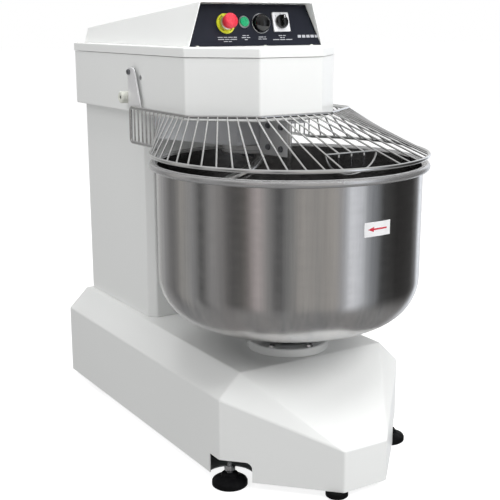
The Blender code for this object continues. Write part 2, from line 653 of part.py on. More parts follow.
def belt(name, low, high, near, near_radius, far, far_radius, thickness=7.0):
    """A belt round two pulleys that stand apart along Y."""
    span = far - near
    tilt = math.degrees(math.asin((near_radius - far_radius) / span))
    loops = []
    for grow in (GAP + 0.15, GAP + 0.15 + thickness):
        front = arc((0, near), near_radius + grow, 180 - tilt, 360 + tilt, 20)
        back = arc((0, far), far_radius + grow, tilt, 180 - tilt, 10)
        loops.append(front + back)
    shape = bmesh.new()
    rings = [[shape.verts.new((x, y, z)) for x, y in loop] for loop in loops for z in (low, high)]
    inner_low, inner_high, outer_low, outer_high = rings
    walls = [inner_low, inner_high, outer_high, outer_low]
    count = len(inner_low)
    for i in range(count):
        j = (i + 1) % count
        for a, b in zip(walls, walls[1:] + walls[:1]):
            shape.faces.new((a[i], a[j], b[j], b[i]))
    return finish_piece(add_object(name, shape), "black_rubber")


def make_bowl_drive():
    low, high = BOWL_PULLEY_Z
    pulley("bowl_pulley", BOWL_PULLEY, BOWL_PULLEY_Z, BOWL_SHAFT, (0, 0))
    motor_pulley("bowl_motor_pulley", BOWL_MOTOR_PULLEY, BOWL_PULLEY_Z, 14, (low, 139), (0, GEARMOTOR_Y))
    belt("bowl_belt", low + 3, high - 3, 0, BOWL_PULLEY, GEARMOTOR_Y, BOWL_MOTOR_PULLEY)
    radius = GEARMOTOR_RADIUS
    body = [(0, 140), (radius, 140), (radius, 205), (50, 212), (50, 318), (44, 326), (0, 326)]
    motor = add_object("bowl_gearmotor", lathe(body, (0, GEARMOTOR_Y, 0), sides=24))
    finish_piece(motor, "blue_motor", smooth=True)


# --------------------------------------------------------------------------------------- spiral assembly


def spiral_path(steps=46):
    """The bar's centre line: straight down from the flange, out into a helix, and in again at the bottom."""
    top = FLANGE_Z[0] + 2
    start, turns, lead = math.radians(285), 1.3, 0.1
    points = []
    for i in range(steps + 1):
        t = i / steps
        wound = (t - lead * (1 - math.exp(-t / lead))) / (1 - lead)
        angle = start - 2 * math.pi * turns * wound
        fall = t * t * (3 - 2 * t) * 0.45 + t * 0.55
        height = top - (top - SPIRAL_LOW) * fall
        out = min(t / 0.3, 1.0)
        spread = 34 + (SPIRAL_RADIUS - 34) * out * out * (3 - 2 * out)
        pinch = max(0.0, (380 - height) / (380 - SPIRAL_LOW))
        radius = spread - 26 * pinch * pinch
        points.append((radius * math.cos(angle), SPIRAL_Y + radius * math.sin(angle), height))
    return points


def make_spiral():
    centre = (0, SPIRAL_Y, 0)
    low, high = FLANGE_Z
    flange = [(0, low), (FLANGE_RADIUS - 1, low), (FLANGE_RADIUS, low + 1), (FLANGE_RADIUS, high), (0, high)]
    hook = add_object("spiral_hook", lathe(flange, centre), centre)
    bar = add_object("add_spiral_bar", tube(spiral_path(), SPIRAL_BAR, sides=10), centre)
    join(hook, bar)
    finish_piece(hook, "polished_steel", smooth=True)
    shaft = disc(SPIRAL_SHAFT, high + GAP, 812, centre, sides=20)
    finish_piece(add_object("spiral_shaft", shaft, centre), "zinc_steel", smooth=True)
    pulley("spiral_pulley", SPIRAL_PULLEY, SPIRAL_PULLEY_Z, SPIRAL_SHAFT, (0, SPIRAL_Y))


def make_spiral_bearings():
    inner, outer, seat = SPIRAL_BEARING + GAP, 52.0, HEAD_BOTTOM + SHEET + GAP
    housing = [(inner, 670), (outer, 670), (outer, seat), (76, seat), (76, seat + 11), (outer, seat + 11)]
    housing += [(outer, 764), (inner, 764)]
    piece = add_object("spiral_bearing_housing", lathe(housing, (0, SPIRAL_Y, 0), sides=28))
    finish_piece(piece, "dark_steel", smooth=True)
    bore, low, high = SPIRAL_SHAFT + GAP, 672, 762
    ring = [(bore, low), (SPIRAL_BEARING, low), (SPIRAL_BEARING, low + 20), (33, low + 20), (33, high - 20)]
    ring += [(SPIRAL_BEARING, high - 20), (SPIRAL_BEARING, high), (bore, high)]
    piece = add_object("spiral_bearing", lathe(ring, (0, SPIRAL_Y, 0), sides=20))
    finish_piece(piece, "zinc_steel", smooth=True)


def make_spiral_drive():
    low, high = SPIRAL_PULLEY_Z
    seat = HEAD_BOTTOM + SHEET + GAP
    motor_pulley("spiral_motor_pulley", MOTOR_PULLEY, SPIRAL_PULLEY_Z, 16, (724, high), (0, MOTOR_Y))
    belt("spiral_belt", low + 4, high - 4, SPIRAL_Y, SPIRAL_PULLEY, MOTOR_Y, MOTOR_PULLEY, 9.0)
    radius = MOTOR_RADIUS
    body = [(0, 470), (60, 470), (radius, 484), (radius, seat), (MOTOR_FLANGE, seat)]
    body += [(MOTOR_FLANGE, seat + 10), (26, seat + 10), (26, 722), (0, 722)]
    motor = add_object("spiral_motor", lathe(body, (0, MOTOR_Y, 0), sides=28))
    finish_piece(motor, "blue_motor", smooth=True)


def skirt_loop(half_front, half_back, front, back, z):
    return [(-half_back, back, z), (-half_front, front, z), (half_front, front, z), (half_back, back, z)]


def make_skirt():
    """The stainless cover under the head: it tapers forward from the column over the spiral's bearings."""
    back, low, high = COLUMN_FRONT - GAP, SKIRT_BOTTOM, HEAD_BOTTOM - GAP
    outside = (SKIRT_FRONT_HALF, SKIRT_BACK_HALF, SKIRT_FRONT_Y, back)
    inside = (SKIRT_FRONT_HALF - 1.2, SKIRT_BACK_HALF + 4.0, SKIRT_FRONT_Y + 2, back + OVER)
    skirt = add_object("underhead_cover", loft(skirt_loop(*outside, low), skirt_loop(*outside, high)))
    hollow = loft(skirt_loop(*inside, low - OVER), skirt_loop(*inside, high + OVER))
    cut(skirt, add_object("cut_skirt_inside", hollow))
    return finish_piece(skirt, "stainless")


def make_breaker():
    """The dough breaker: a rod down the bowl's axis and a plate behind its top, bolted to a bracket."""
    half, top = BREAKER_THICKNESS / 2, HEAD_BOTTOM - GAP
    outline = [(BREAKER_ROD_Y, BREAKER_PLATE_BOTTOM + 4), (BREAKER_BACK, BREAKER_PLATE_BOTTOM)]
    outline += [(BREAKER_BACK, top), (BREAKER_ROD_Y, top)]
    breaker = add_object("breaker_bar", prism_x(outline, -half, half))
    rod = disc(BREAKER_ROD, BREAKER_LOW, top, (0, BREAKER_ROD_Y), sides=16)
    join(breaker, add_object("add_breaker_rod", rod))
    finish_piece(breaker, "stainless")
    near = half + GAP
    leg = box((near, 10, 648), (near + 8, 100, top))
    bracket = add_object("breaker_bracket", leg)
    join(bracket, add_object("add_bracket_foot", box((near, 10, top - 8), (near + 44, 100, top))))
    finish_piece(bracket, "stainless")
    number = 0
    for y in BREAKER_BOLTS_Y:
        for z in BREAKER_BOLTS_Z:
            number += 1
            head = [(0, 0), (6.5, 0), (6.5, 5), (5.6, 6), (0, 6)]
            bolt = lathe(head, (-half - GAP, y, z), (-1, 0, 0), sides=12)
            finish_piece(add_object(f"breaker_bolt_{number}", bolt), "dark_steel", smooth=True)


# -------------------------------------------------------------------------------------------- bowl guard


def guard_top_path():
    half = [(-GUARD_SIDE, GUARD_REAR_Y), (-GUARD_SIDE, GUARD_BEND_Y), (-GUARD_FRONT_HALF, GUARD_FRONT_Y)]
    return [(x, y, GUARD_TOP_Z) for x, y in mirrored(half)]


def guard_low_path():
    meet = math.degrees(math.acos(-GUARD_SIDE / GUARD_RING))
    ring = arc((0, 0), GUARD_RING, meet, 540 - meet, 48)
    ends = [(-GUARD_SIDE, GUARD_REAR_Y)], [(GUARD_SIDE, GUARD_REAR_Y)]
    return [(x, y, GUARD_RING_Z) for x, y in ends[0] + ring + ends[1]]


def along_path(path, distance):
    """The point this far along a path of straight pieces."""
    for start, end in zip(path, path[1:]):
        first, second = Vector(start), Vector(end)
        length = (second - first).length
        if distance <= length:
            return first.lerp(second, distance / length)
        distance -= length
    return Vector(path[-1])


def path_length(path):
    return sum((Vector(b) - Vector(a)).length for a, b in zip(path, path[1:]))


def wire_ends():
    """Top and bottom of each wire: upright along the side rods, then fanned out evenly round the ring."""
    top, low = guard_top_path(), guard_low_path()
    top_length, low_length = path_length(top), path_length(low)
    count = 2 * round(top_length / WIRE_PITCH / 2)
    pitch = top_length / count
    straight = pitch * STRAIGHT_WIRES
    spread = (low_length - 2 * straight) / (count - 2 * STRAIGHT_WIRES)
    for i in range(1, count):
        if i <= STRAIGHT_WIRES:
            down = pitch * i
        elif i >= count - STRAIGHT_WIRES:
            down = low_length - pitch * (count - i)
        else:
            down = straight + spread * (i - STRAIGHT_WIRES)
        yield along_path(top, pitch * i), along_path(low, down)


def feed_bar():
    """Both ends of the cross bar over the feed opening at the guard's front."""
    ends = list(wire_ends())
    middle = len(ends) // 2
    return [
        ends[middle + steps][0].lerp(ends[middle + steps][1], FEED_BAR)
        for steps in (-FEED_STEPS, FEED_STEPS)
    ]


def wire_paths():
    """The cross bar and all the wires. The front wires stop at the bar, which leaves the feed opening."""
    left, right = feed_bar()
    ends = list(wire_ends())
    paths = [[left, right]]
    for i, (top, low) in enumerate(ends):
        share = (i - len(ends) // 2) / FEED_STEPS
        paths.append([top, left.lerp(right, (share + 1) / 2) if abs(share) < 1 else low])
    return paths


def make_feed_hoop(hinge):
    """The hoop that hangs just under the cross bar, with its three upright wires."""
    left, right = feed_bar()
    half = (right - left) / 2
    top = (left + right) / 2 - Vector((0, 0, FEED_GAP))
    drop = Vector((0, 0, FEED_DROP - FEED_GAP))
    bend = [top + half * x - drop * z for x, z in arc((0, 0), 1.0, 180, 0, 12)]
    hoop = add_object("guard_feed_hoop", tube(bend, GUARD_WIRE, sides=6), hinge)
    for i, x in enumerate((-0.5, 0.0, 0.5)):
        upright = [top + half * x, top + half * x - drop * math.sqrt(1 - x * x)]
        join(hoop, add_object(f"add_hoop_wire_{i}", tube(upright, GUARD_WIRE, sides=6), hinge))
    finish_piece(hoop, "polished_steel", smooth=True)


def make_guard():
    hinge = (0, PIVOT_Y, PIVOT_Z)
    frame = guard_top_path() + guard_low_path()[::-1]
    grid = add_object("guard_grid", tube(frame, GUARD_ROD, sides=8, closed=True), hinge)
    wires = bpy.data.collections.new("guard_wires")
    bpy.context.scene.collection.children.link(wires)
    for i, path in enumerate(wire_paths()):
        wire = add_object(f"add_wire_{i:02d}", tube(path, GUARD_WIRE, sides=6), hinge)
        wire.hide_render = True
        wire.display_type = "WIRE"
        bpy.context.scene.collection.objects.unlink(wire)
        wires.objects.link(wire)
    step = grid.modifiers.new("Union", "BOOLEAN")
    step.operation = "UNION"
    step.operand_type = "COLLECTION"
    step.collection = wires
    finish_piece(grid, "polished_steel", smooth=True)
    make_feed_hoop(hinge)
    for name, sign in sides_of("guard"):
        make_guard_side(name, sign, hinge)


def make_guard_side(name, sign, hinge):
    """One side of the guard's hinge: the swinging bracket, its pivot bolt and the buffer it rests on."""
    low = GUARD_TOP_Z + GUARD_ROD + GAP
    outline = [(288, low), (348, low), (348.4, 814), (344, 822), (323, 822), (316, 816)]
    inner, outer = sorted(sign * x for x in BRACKET_X)
    bracket = add_object(f"{name}_bracket", prism_x(outline, inner, outer), hinge)
    bore = disc(PIVOT_RADIUS + 0.4, BRACKET_X[0] - 8, BRACKET_X[1] + 8, hinge, (sign, 0, 0), sides=14)
    cut(bracket, add_object(f"cut_{name}_bracket", bore, hinge))
    finish_piece(bracket, "stainless")
    wall = HEAD_HALF + GAP
    pin = [(0, wall), (10, wall), (10, BRACKET_X[0] - GAP), (PIVOT_RADIUS, BRACKET_X[0] - GAP)]
    pin += [(PIVOT_RADIUS, BRACKET_X[1] + GAP), (7.5, BRACKET_X[1] + GAP), (7.5, 206.5), (0, 206.5)]
    shape = lathe(pin, (0, PIVOT_Y, PIVOT_Z), (sign, 0, 0), sides=16)
    finish_piece(add_object(f"{name}_pivot", shape), "zinc_steel", smooth=True)
    radius, tip = STOP_RADIUS, STOP_TIP
    buffer = [(0, wall), (radius, wall), (radius, tip - 1.5), (radius - 1.5, tip), (0, tip)]
    shape = lathe(buffer, (0, STOP_Y, STOP_Z), (sign, 0, 0), sides=24)
    finish_piece(add_object(f"{name}_stop", shape), "white_plastic", smooth=True)


def main():
    clear_scene()
    make_base_casing()
    make_floor_plate()
    make_chassis()
    make_feet()
    make_nose_foot()
    make_wheels()
    make_column()
    make_rear_cover()
    make_head()
    make_lid()
    make_hood()
    make_panel()
    make_controls()
    make_bowl()
    make_bowl_bearing()
    make_bowl_drive()
    make_spiral()
    make_spiral_bearings()
    make_spiral_drive()
    make_skirt()
    make_breaker()
    make_guard()


main()
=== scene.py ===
"""Looks for the floor-standing spiral dough mixer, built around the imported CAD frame. Metres, +Z up."""

import json
import math

import bmesh
import bpy
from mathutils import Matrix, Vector


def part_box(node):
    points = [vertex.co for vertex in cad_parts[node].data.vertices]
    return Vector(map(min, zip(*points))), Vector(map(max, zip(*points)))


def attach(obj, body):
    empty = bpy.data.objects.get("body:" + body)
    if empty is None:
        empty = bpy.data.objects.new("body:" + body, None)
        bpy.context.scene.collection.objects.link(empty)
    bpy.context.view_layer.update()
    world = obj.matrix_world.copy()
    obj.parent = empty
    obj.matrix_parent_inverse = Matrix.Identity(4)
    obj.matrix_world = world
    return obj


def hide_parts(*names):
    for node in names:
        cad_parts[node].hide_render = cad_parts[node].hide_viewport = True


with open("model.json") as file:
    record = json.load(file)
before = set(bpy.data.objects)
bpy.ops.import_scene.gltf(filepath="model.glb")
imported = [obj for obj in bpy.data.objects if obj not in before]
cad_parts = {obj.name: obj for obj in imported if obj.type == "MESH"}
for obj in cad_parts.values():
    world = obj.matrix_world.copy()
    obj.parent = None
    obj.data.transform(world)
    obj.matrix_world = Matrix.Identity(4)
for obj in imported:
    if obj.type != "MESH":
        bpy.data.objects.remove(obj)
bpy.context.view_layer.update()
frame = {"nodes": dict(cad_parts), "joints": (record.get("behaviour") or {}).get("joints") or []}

MM = 0.001
FOLD = 3.2 * MM  # outside radius of a fold in the enamelled sheet
SHEET = 2.0 * MM
UP = Vector((0, 0, 1))
RIGHT = Vector((1, 0, 0))
BACK = Vector((0, 1, 0))

joints = {joint["name"]: joint for joint in frame["joints"]}


# ------------------------ places


def centre_of(node):
    low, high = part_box(node)
    return (low + high) / 2


def size_of(node):
    low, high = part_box(node)
    return high - low


def joint_place(name):
    return Vector(joints[name]["pos_m"])


def cad_points(node):
    return [vert.co.copy() for vert in frame["nodes"][node].data.vertices]


BOWL_AXIS = joint_place("bowl_spin").xy.to_3d()
SPIRAL_AXIS = joint_place("spiral_spin").xy.to_3d()
GUARD_PIVOT = joint_place("guard_hinge")
PANEL_POINT = joint_place("selector_turn")
PANEL_NORMAL = Vector(joints["selector_turn"]["axis"]).normalized()
PANEL_UP = PANEL_NORMAL.cross(RIGHT).normalized()


def on_panel(node):
    """The middle of a flat piece on the control panel, dropped onto the panel's face."""
    middle = centre_of(node)
    return middle - PANEL_NORMAL * (middle - PANEL_POINT).dot(PANEL_NORMAL)


# ------------------------ materials


class Tree:
    """A shader's node tree, with short ways to add nodes to it."""

    def __init__(self, owner):
        owner.use_nodes = True
        self.tree = owner.node_tree

    def node(self, kind, **settings):
        made = self.tree.nodes.new(kind)
        for name, value in settings.items():
            setattr(made, name, value)
        return made

    def link(self, start, end):
        self.tree.links.new(start, end)

    def remap(self, value, low=0.0, high=1.0, start=0.3, end=0.7):
        """Carries value from the range start to end onto the range low to high."""
        made = self.node("ShaderNodeMapRange")
        for socket, number in (("From Min", start), ("From Max", end), ("To Min", low), ("To Max", high)):
            made.inputs[socket].default_value = number
        self.link(value, made.inputs["Value"])
        return made.outputs["Result"]

    def blend(self, amount, first, second):
        """Mixes two colours by amount; each is a tuple or an output."""
        made = self.node("ShaderNodeMix", data_type="RGBA")
        self.link(amount, made.inputs["Factor"])
        for socket, value in ((made.inputs[6], first), (made.inputs[7], second)):
            if isinstance(value, tuple):
                socket.default_value = (*value, 1.0)
            else:
                self.link(value, socket)
        return made.outputs[2]


class Shader(Tree):
    """A Principled material."""

    def __init__(self, name, colour, metallic=0.0, roughness=0.4, **sockets):
        self.material = bpy.data.materials.new(name)
        super().__init__(self.material)
        self.main = self.tree.nodes["Principled BSDF"]
        self.put("Base Color", (*colour, 1.0))
        self.put("Metallic", metallic)
        self.put("Roughness", roughness)
        for socket, value in sockets.items():
            self.put(socket.replace("_", " "), value)

    def put(self, socket, value):
        self.main.inputs[socket].default_value = value

    def noise(self, scale, detail=3.0, roughness=0.55, stretch=(1, 1, 1), location=(0, 0, 0)):
        """Noise in object coordinates; it is drawn out along the directions whose stretch is small."""
        source = self.node("ShaderNodeTexCoord")
        mapping = self.node("ShaderNodeMapping")
        mapping.inputs["Scale"].default_value = stretch
        mapping.inputs["Location"].default_value = location
        self.link(source.outputs["Object"], mapping.inputs["Vector"])
        made = self.node("ShaderNodeTexNoise")
        made.inputs["Scale"].default_value = scale
        made.inputs["Detail"].default_value = detail
        made.inputs["Roughness"].default_value = roughness
        self.link(mapping.outputs["Vector"], made.inputs["Vector"])
        return made.outputs["Fac"]

    def colour(self, output):
        self.link(output, self.main.inputs["Base Color"])

    def roughness(self, output):
        self.link(output, self.main.inputs["Roughness"])

    def bump(self, *layers):
        """Each layer is (height output, strength, distance in metres)."""
        normal = None
        for height, strength, distance in layers:
            made = self.node("ShaderNodeBump")
            made.inputs["Strength"].default_value = strength
            made.inputs["Distance"].default_value = distance
            self.link(height, made.inputs["Height"])
            if normal is not None:
                self.link(normal, made.inputs["Normal"])
            normal = made.outputs["Normal"]
        self.link(normal, self.main.inputs["Normal"])

    def edges(self, colour, edge_highlight, radius, reach):
        """Blends colour into a painted highlight where the surface turns over an edge."""
        bevel = self.node("ShaderNodeBevel", samples=4)
        bevel.inputs["Radius"].default_value = radius
        geometry = self.node("ShaderNodeNewGeometry")
        turn = self.node("ShaderNodeVectorMath", operation="DISTANCE")
        self.link(bevel.outputs["Normal"], turn.inputs[0])
        self.link(geometry.outputs["Normal"], turn.inputs[1])
        return self.blend(self.remap(turn.outputs["Value"], 0.0, 1.0, *reach), colour, edge_highlight)

    def mottled(self, cloud, dark, light, gloss, roughness, grain, strength, distance):
        """Clouds of two tones, patches of gloss and a fine grain, each with its own noise settings."""
        self.colour(self.blend(self.remap(self.noise(*cloud)), dark, light))
        self.roughness(self.remap(self.noise(*gloss), *roughness))
        self.bump((self.noise(*grain), strength, distance))
        return self.material


def dimmed(tone, share):
    return tuple(c * share for c in tone)


def enamel():
    """Glossy white stove enamel: faint orange peel, a slow drift of tone and a painted highlight that makes
    the edges a little brighter.
    """
    tone = (0.865, 0.875, 0.865)
    shader = Shader("white_enamel", tone, roughness=0.3, Specular_IOR_Level=0.45, Coat_Weight=0.12,
                    Coat_Roughness=0.12)
    drift = shader.remap(shader.noise(2.2, 1), 0.0, 1.0, 0.1, 0.9)
    clean = shader.blend(drift, dimmed(tone, 0.97), tone)
    # The brighter colour over the edges is a painted highlight along the folds.
    shader.colour(shader.edges(clean, (0.88, 0.88, 0.87), 0.0025, (0.05, 0.5)))
    shader.roughness(shader.remap(shader.noise(5.0, 1, 0.5, (1, 1, 0.5)), 0.27, 0.34, 0.1, 0.9))
    shader.bump((shader.noise(420.0, 2), 0.10, 0.00012))
    return shader.material


def brushed(name, tone, stretch, roughness=(0.2, 0.34), lines=0.12, metallic=1.0):
    """Stainless steel with fine lines along the directions whose stretch is small."""
    shader = Shader(name, tone, metallic=metallic, roughness=roughness[0])
    light = tuple(min(1.0, c * 1.05) for c in tone)
    return shader.mottled((6.0, 4, 0.6), dimmed(tone, 0.95), light, (160.0, 3, 0.6, stretch), roughness,
                          (900.0, 4, 0.6, stretch), lines, 0.00006)


def bowl_steel(name, share=1.0):
    """Spun and polished stainless: rings round the axis, faint polishing arcs, and upright streaks of darker,
    lighter and warmer tone that are a painted reflection.
    """
    dark, light, warm_reflection_tone = (0.47, 0.47, 0.48), (0.66, 0.655, 0.645), (0.60, 0.565, 0.55)
    # A share below 1 gives a darker copy of the steel, used as painted shade on the bowl's inside.
    dark, light, warm_reflection_tone = (dimmed(tone, share) for tone in (dark, light, warm_reflection_tone))
    shader = Shader(name, light, metallic=1.0, roughness=0.2, Anisotropic=0.75, Anisotropic_Rotation=0.25)
    tangent = shader.node("ShaderNodeTangent", direction_type="RADIAL", axis="Z")
    shader.link(tangent.outputs["Tangent"], shader.main.inputs["Tangent"])
    # The upright streaks in the colour are a painted reflection of the room's bright and dark walls.
    reflection_streaks = shader.noise(1.0, 5, 0.7, (22, 22, 0.7))
    warm = shader.noise(1.0, 3, 0.6, (9, 9, 0.4), (3.1, 0.4, 0))
    toned = shader.blend(shader.remap(reflection_streaks, 0.0, 1.0, 0.34, 0.66), dark, light)
    shader.colour(shader.blend(shader.remap(warm, 0.0, 0.6, 0.42, 0.68), toned, warm_reflection_tone))
    polish = shader.noise(26.0, 3, 0.5, (1, 1, 3))
    shader.roughness(shader.remap(polish, 0.17, 0.25, 0.25, 0.75))
    rings = shader.noise(700.0, 3, 0.6, (0.012, 0.012, 1))
    waves = shader.noise(5.0, 2, 0.5, (1.4, 1.4, 0.5))
    shader.bump((rings, 0.10, 0.00006), (waves, 0.12, 0.0012))
    return shader.material


def plastic(name, colour, roughness, strength=0.06, coat=0.0):
    shader = Shader(name, colour, roughness=roughness, Coat_Weight=coat, Coat_Roughness=0.05)
    return shader.mottled((18.0, 4), dimmed(colour, 0.86), colour, (60.0, 3),
                          (roughness * 0.85, roughness * 1.2), (1200.0, 2), strength, 0.00008)


def rubber():
    colour = (0.003, 0.003, 0.0035)
    shader = Shader("black_rubber", colour, roughness=0.6, Specular_IOR_Level=0.16)
    dust = shader.remap(shader.noise(55.0, 6, 0.7), 0.0, 0.5, 0.5, 0.8)
    shader.colour(shader.blend(dust, colour, (0.010, 0.010, 0.010)))
    shader.roughness(shader.remap(shader.noise(90.0, 4), 0.5, 0.78))
    shader.bump((shader.noise(1500.0, 3), 0.25, 0.00012))
    return shader.material


def plated(name, tone, roughness=(0.22, 0.42)):
    """Zinc-plated or turned steel with mottled gloss."""
    shader = Shader(name, tone, metallic=1.0, roughness=roughness[0])
    return shader.mottled((70.0, 5, 0.65), dimmed(tone, 0.82), tone, (180.0, 4), roughness, (1200.0, 3), 0.12,
                          0.00006)


def painted(name, colour, roughness=0.5):
    """Plain shop paint on castings and hidden frames."""
    shader = Shader(name, colour, roughness=roughness)
    return shader.mottled((14.0, 5, 0.65), dimmed(colour, 0.75), colour, (40.0, 4),
                          (roughness * 0.85, roughness * 1.2), (500.0, 3), 0.2, 0.0002)


def panel_overlay():
    """The matt navy film on the control panel, with its very fine printed grain."""
    colour = (0.0085, 0.010, 0.0165)
    shader = Shader("panel_navy", colour, roughness=0.42, Specular_IOR_Level=0.22)
    return shader.mottled((9.0, 4), colour, (0.012, 0.0135, 0.021), (30.0, 4), (0.34, 0.5), (1600.0, 2), 0.12,
                          0.00008)


MATERIALS = {
    "enamel": enamel(),
    "bowl": bowl_steel("bowl_steel"),
    # The bowl's inside takes the same steel at three quarters of its tone: painted shade from the head above.
    "bowl_painted_shade_inside": bowl_steel("bowl_steel_painted_shade", 0.75),
    "sheet_steel": brushed("sheet_steel", (0.86, 0.87, 0.90), (1, 1, 0.02), (0.3, 0.44), metallic=0.35),
    "plate_steel": brushed("plate_steel", (0.88, 0.88, 0.89), (0.02, 1, 1), (0.3, 0.44), metallic=0.35),
    "flange_steel": brushed("flange_steel", (0.80, 0.80, 0.80), (0.02, 0.02, 1), (0.24, 0.36), metallic=0.3),
    "base_steel": brushed("base_steel", (0.50, 0.505, 0.515), (1, 1, 0.02), (0.26, 0.42)),
    "bright_wire": brushed("bright_wire", (0.80, 0.80, 0.795), (1, 1, 1), (0.12, 0.24), 0.06),
    "shaded_wire": brushed("shaded_wire", (0.16, 0.16, 0.17), (1, 1, 1), (0.2, 0.3), 0.06),
    "spiral_steel": brushed("spiral_steel", (0.64, 0.64, 0.635), (0.2, 0.2, 1), (0.12, 0.24), 0.08),
    "rim_steel": brushed("rim_steel", (0.60, 0.597, 0.60), (0.02, 0.02, 1), (0.2, 0.32), metallic=0.8),
    "zinc": plated("zinc", (0.60, 0.61, 0.62)),
    "dark_bolt": plated("dark_bolt", (0.30, 0.31, 0.33), (0.25, 0.45)),
    "chrome": plated("chrome", (0.80, 0.80, 0.80), (0.05, 0.1)),
    "aluminium": plated("aluminium", (0.74, 0.74, 0.73), (0.28, 0.4)),
    "cast": painted("black_casting", (0.03, 0.03, 0.033)),
    "chassis": painted("grey_frame", (0.42, 0.43, 0.44), 0.55),
    "motor": painted("motor_blue", (0.03, 0.07, 0.17), 0.45),
    "rubber": rubber(),
    "black": plastic("black_gloss", (0.003, 0.003, 0.0035), 0.06, strength=0.0, coat=0.3),
    "black_matt": plastic("black_matt", (0.014, 0.014, 0.016), 0.35),
    "red": plastic("red_plastic", (0.62, 0.028, 0.052), 0.28),
    "green": plastic("green_plastic", (0.0, 0.30, 0.115), 0.3),
    "yellow": plastic("yellow_plastic", (0.62, 0.63, 0.02), 0.35),
    "nylon": plastic("white_nylon", (0.76, 0.77, 0.70), 0.42),
    "print": plastic("grey_print", (0.42, 0.43, 0.46), 0.5),
    "silver": plastic("silver_face", (0.70, 0.70, 0.72), 0.32),
    "white_print": plastic("white_label", (0.86, 0.86, 0.87), 0.4),
    "red_print": plastic("red_label", (0.62, 0.02, 0.05), 0.4),
    "panel": panel_overlay(),
}


# ------------------------ mesh tools


def new_object(name, shape):
    """An object in the scene made from a bmesh, which it uses up."""
    mesh = bpy.data.meshes.new(name)
    shape.to_mesh(mesh)
    shape.free()
    made = bpy.data.objects.new(name, mesh)
    bpy.context.scene.collection.objects.link(made)
    return made


def finished(name, shape, material, body, replaces=None, smooth=35.0):
    """Turns a bmesh in world metres into a piece that rides on a body."""
    bmesh.ops.recalc_face_normals(shape, faces=shape.faces)
    piece = new_object(name, shape)
    piece.data.materials.append(MATERIALS[material])
    if smooth:
        piece.data.shade_smooth()
        piece.data.set_sharp_from_angle(angle=math.radians(smooth))
    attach(piece, body)
    if replaces:
        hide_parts(replaces)
    return piece


def modify(piece, kind, **settings):
    step = piece.modifiers.new(kind.title(), kind)
    for name, value in settings.items():
        setattr(step, name, value)
    return step


def soften(piece, width, segments=3, angle=30.0):
    """Rounds the piece's edges and keeps its flats flat."""
    modify(piece, "BEVEL", width=width, segments=segments, limit_method="ANGLE",
           angle_limit=math.radians(angle), harden_normals=True, use_clamp_overlap=True)
    piece.data.shade_smooth()
    return piece


def apply_modifiers(piece):
    graph = bpy.context.evaluated_depsgraph_get()
    made = bpy.data.meshes.new_from_object(piece.evaluated_get(graph))
    piece.modifiers.clear()
    piece.data = made
    return piece


def carve(piece, shape):
    """Cuts a closed bmesh shape out of a piece."""
    bmesh.ops.recalc_face_normals(shape, faces=shape.faces)
    cutter = new_object("cutter", shape)
    modify(piece, "BOOLEAN", operation="DIFFERENCE", object=cutter, solver="EXACT")
    apply_modifiers(piece)
    bpy.data.objects.remove(cutter, do_unlink=True)


def united(first, second):
    """The union of two closed bmesh shapes, which it uses up."""
    for shape in (first, second):
        bmesh.ops.recalc_face_normals(shape, faces=shape.faces)
    holder, other = new_object("holder", first), new_object("other", second)
    modify(holder, "BOOLEAN", operation="UNION", object=other, solver="EXACT")
    apply_modifiers(holder)
    result = bmesh.new()
    result.from_mesh(holder.data)
    for thing in (holder, other):
        bpy.data.objects.remove(thing, do_unlink=True)
    return result


def turned(profile, centre, axis=UP, sides=64, lobes=None):
    """Turns a profile of (radius, height) about an axis; a point at radius 0 closes an end."""
    axis = Vector(axis).normalized()
    across = axis.orthogonal().normalized()
    third = axis.cross(across)
    shape = bmesh.new()
    rings = []
    for radius, height in profile:
        base = Vector(centre) + axis * height
        if radius < 1e-7:
            rings.append([shape.verts.new(base)])
            continue
        ring = []
        for i in range(sides):
            angle = 2 * math.pi * i / sides
            reach = radius * (lobes(angle, radius, height) if lobes else 1.0)
            ring.append(shape.verts.new(base + (across * math.cos(angle) + third * math.sin(angle)) * reach))
        rings.append(ring)
    for here, there in zip(rings, rings[1:]):
        bridge(shape, here, there)
    if len(rings[0]) > 1 and len(rings[-1]) > 1:
        bridge(shape, rings[-1], rings[0])
    return shape


def bore(centre, axis, radius, depth, sides):
    """A plain round cutter that reaches depth to both sides of its centre."""
    return turned([(0, -depth), (radius, -depth), (radius, depth), (0, depth)], centre, axis, sides)


def in_mm(profile):
    """A profile that is given in millimetres, in metres."""
    return [(radius * MM, height * MM) for radius, height in profile]


def bridge(shape, here, there):
    """Faces between two rings; either may be a single point."""
    count = max(len(here), len(there))
    for i in range(count):
        j = (i + 1) % count
        if len(here) == 1 and len(there) == 1:
            continue
        if len(here) == 1:
            shape.faces.new((here[0], there[i], there[j]))
        elif len(there) == 1:
            shape.faces.new((here[i], here[j], there[0]))
        else:
            shape.faces.new((here[i], here[j], there[j], there[i]))


def rounded(profile, radius, steps=4):
    """Rounds the inner corners of a profile that starts and ends on the axis."""
    return [tuple(point) for point in fillet_path(profile, radius, steps, share=0.48, straight=175)]


def arc(centre, radius, start, end, steps):
    found = []
    for i in range(steps + 1):
        angle = math.radians(start + (end - start) * i / steps)
        found.append((centre[0] + radius * math.cos(angle), centre[1] + radius * math.sin(angle)))
    return found


def fillet_path(path, radius, steps=6, closed=False, share=0.45, straight=168):
    """Rounds a path's bends, each over no more than this share of its neighbours; flat bends are left."""
    points = [Vector(point) for point in path]
    count = len(points)
    result = []
    for i, corner in enumerate(points):
        first, second = points[i - 1] - corner, points[(i + 1) % count] - corner
        angle = first.angle(second, math.pi)
        if angle > math.radians(straight) or not closed and i in (0, count - 1):
            result.append(corner)
            continue
        cut = min(first.length * share, second.length * share, radius / math.tan(angle / 2))
        start, end = corner + first.normalized() * cut, corner + second.normalized() * cut
        for k in range(steps + 1):
            t = k / steps
            result.append(start.lerp(corner, t).lerp(corner.lerp(end, t), t))
    return result


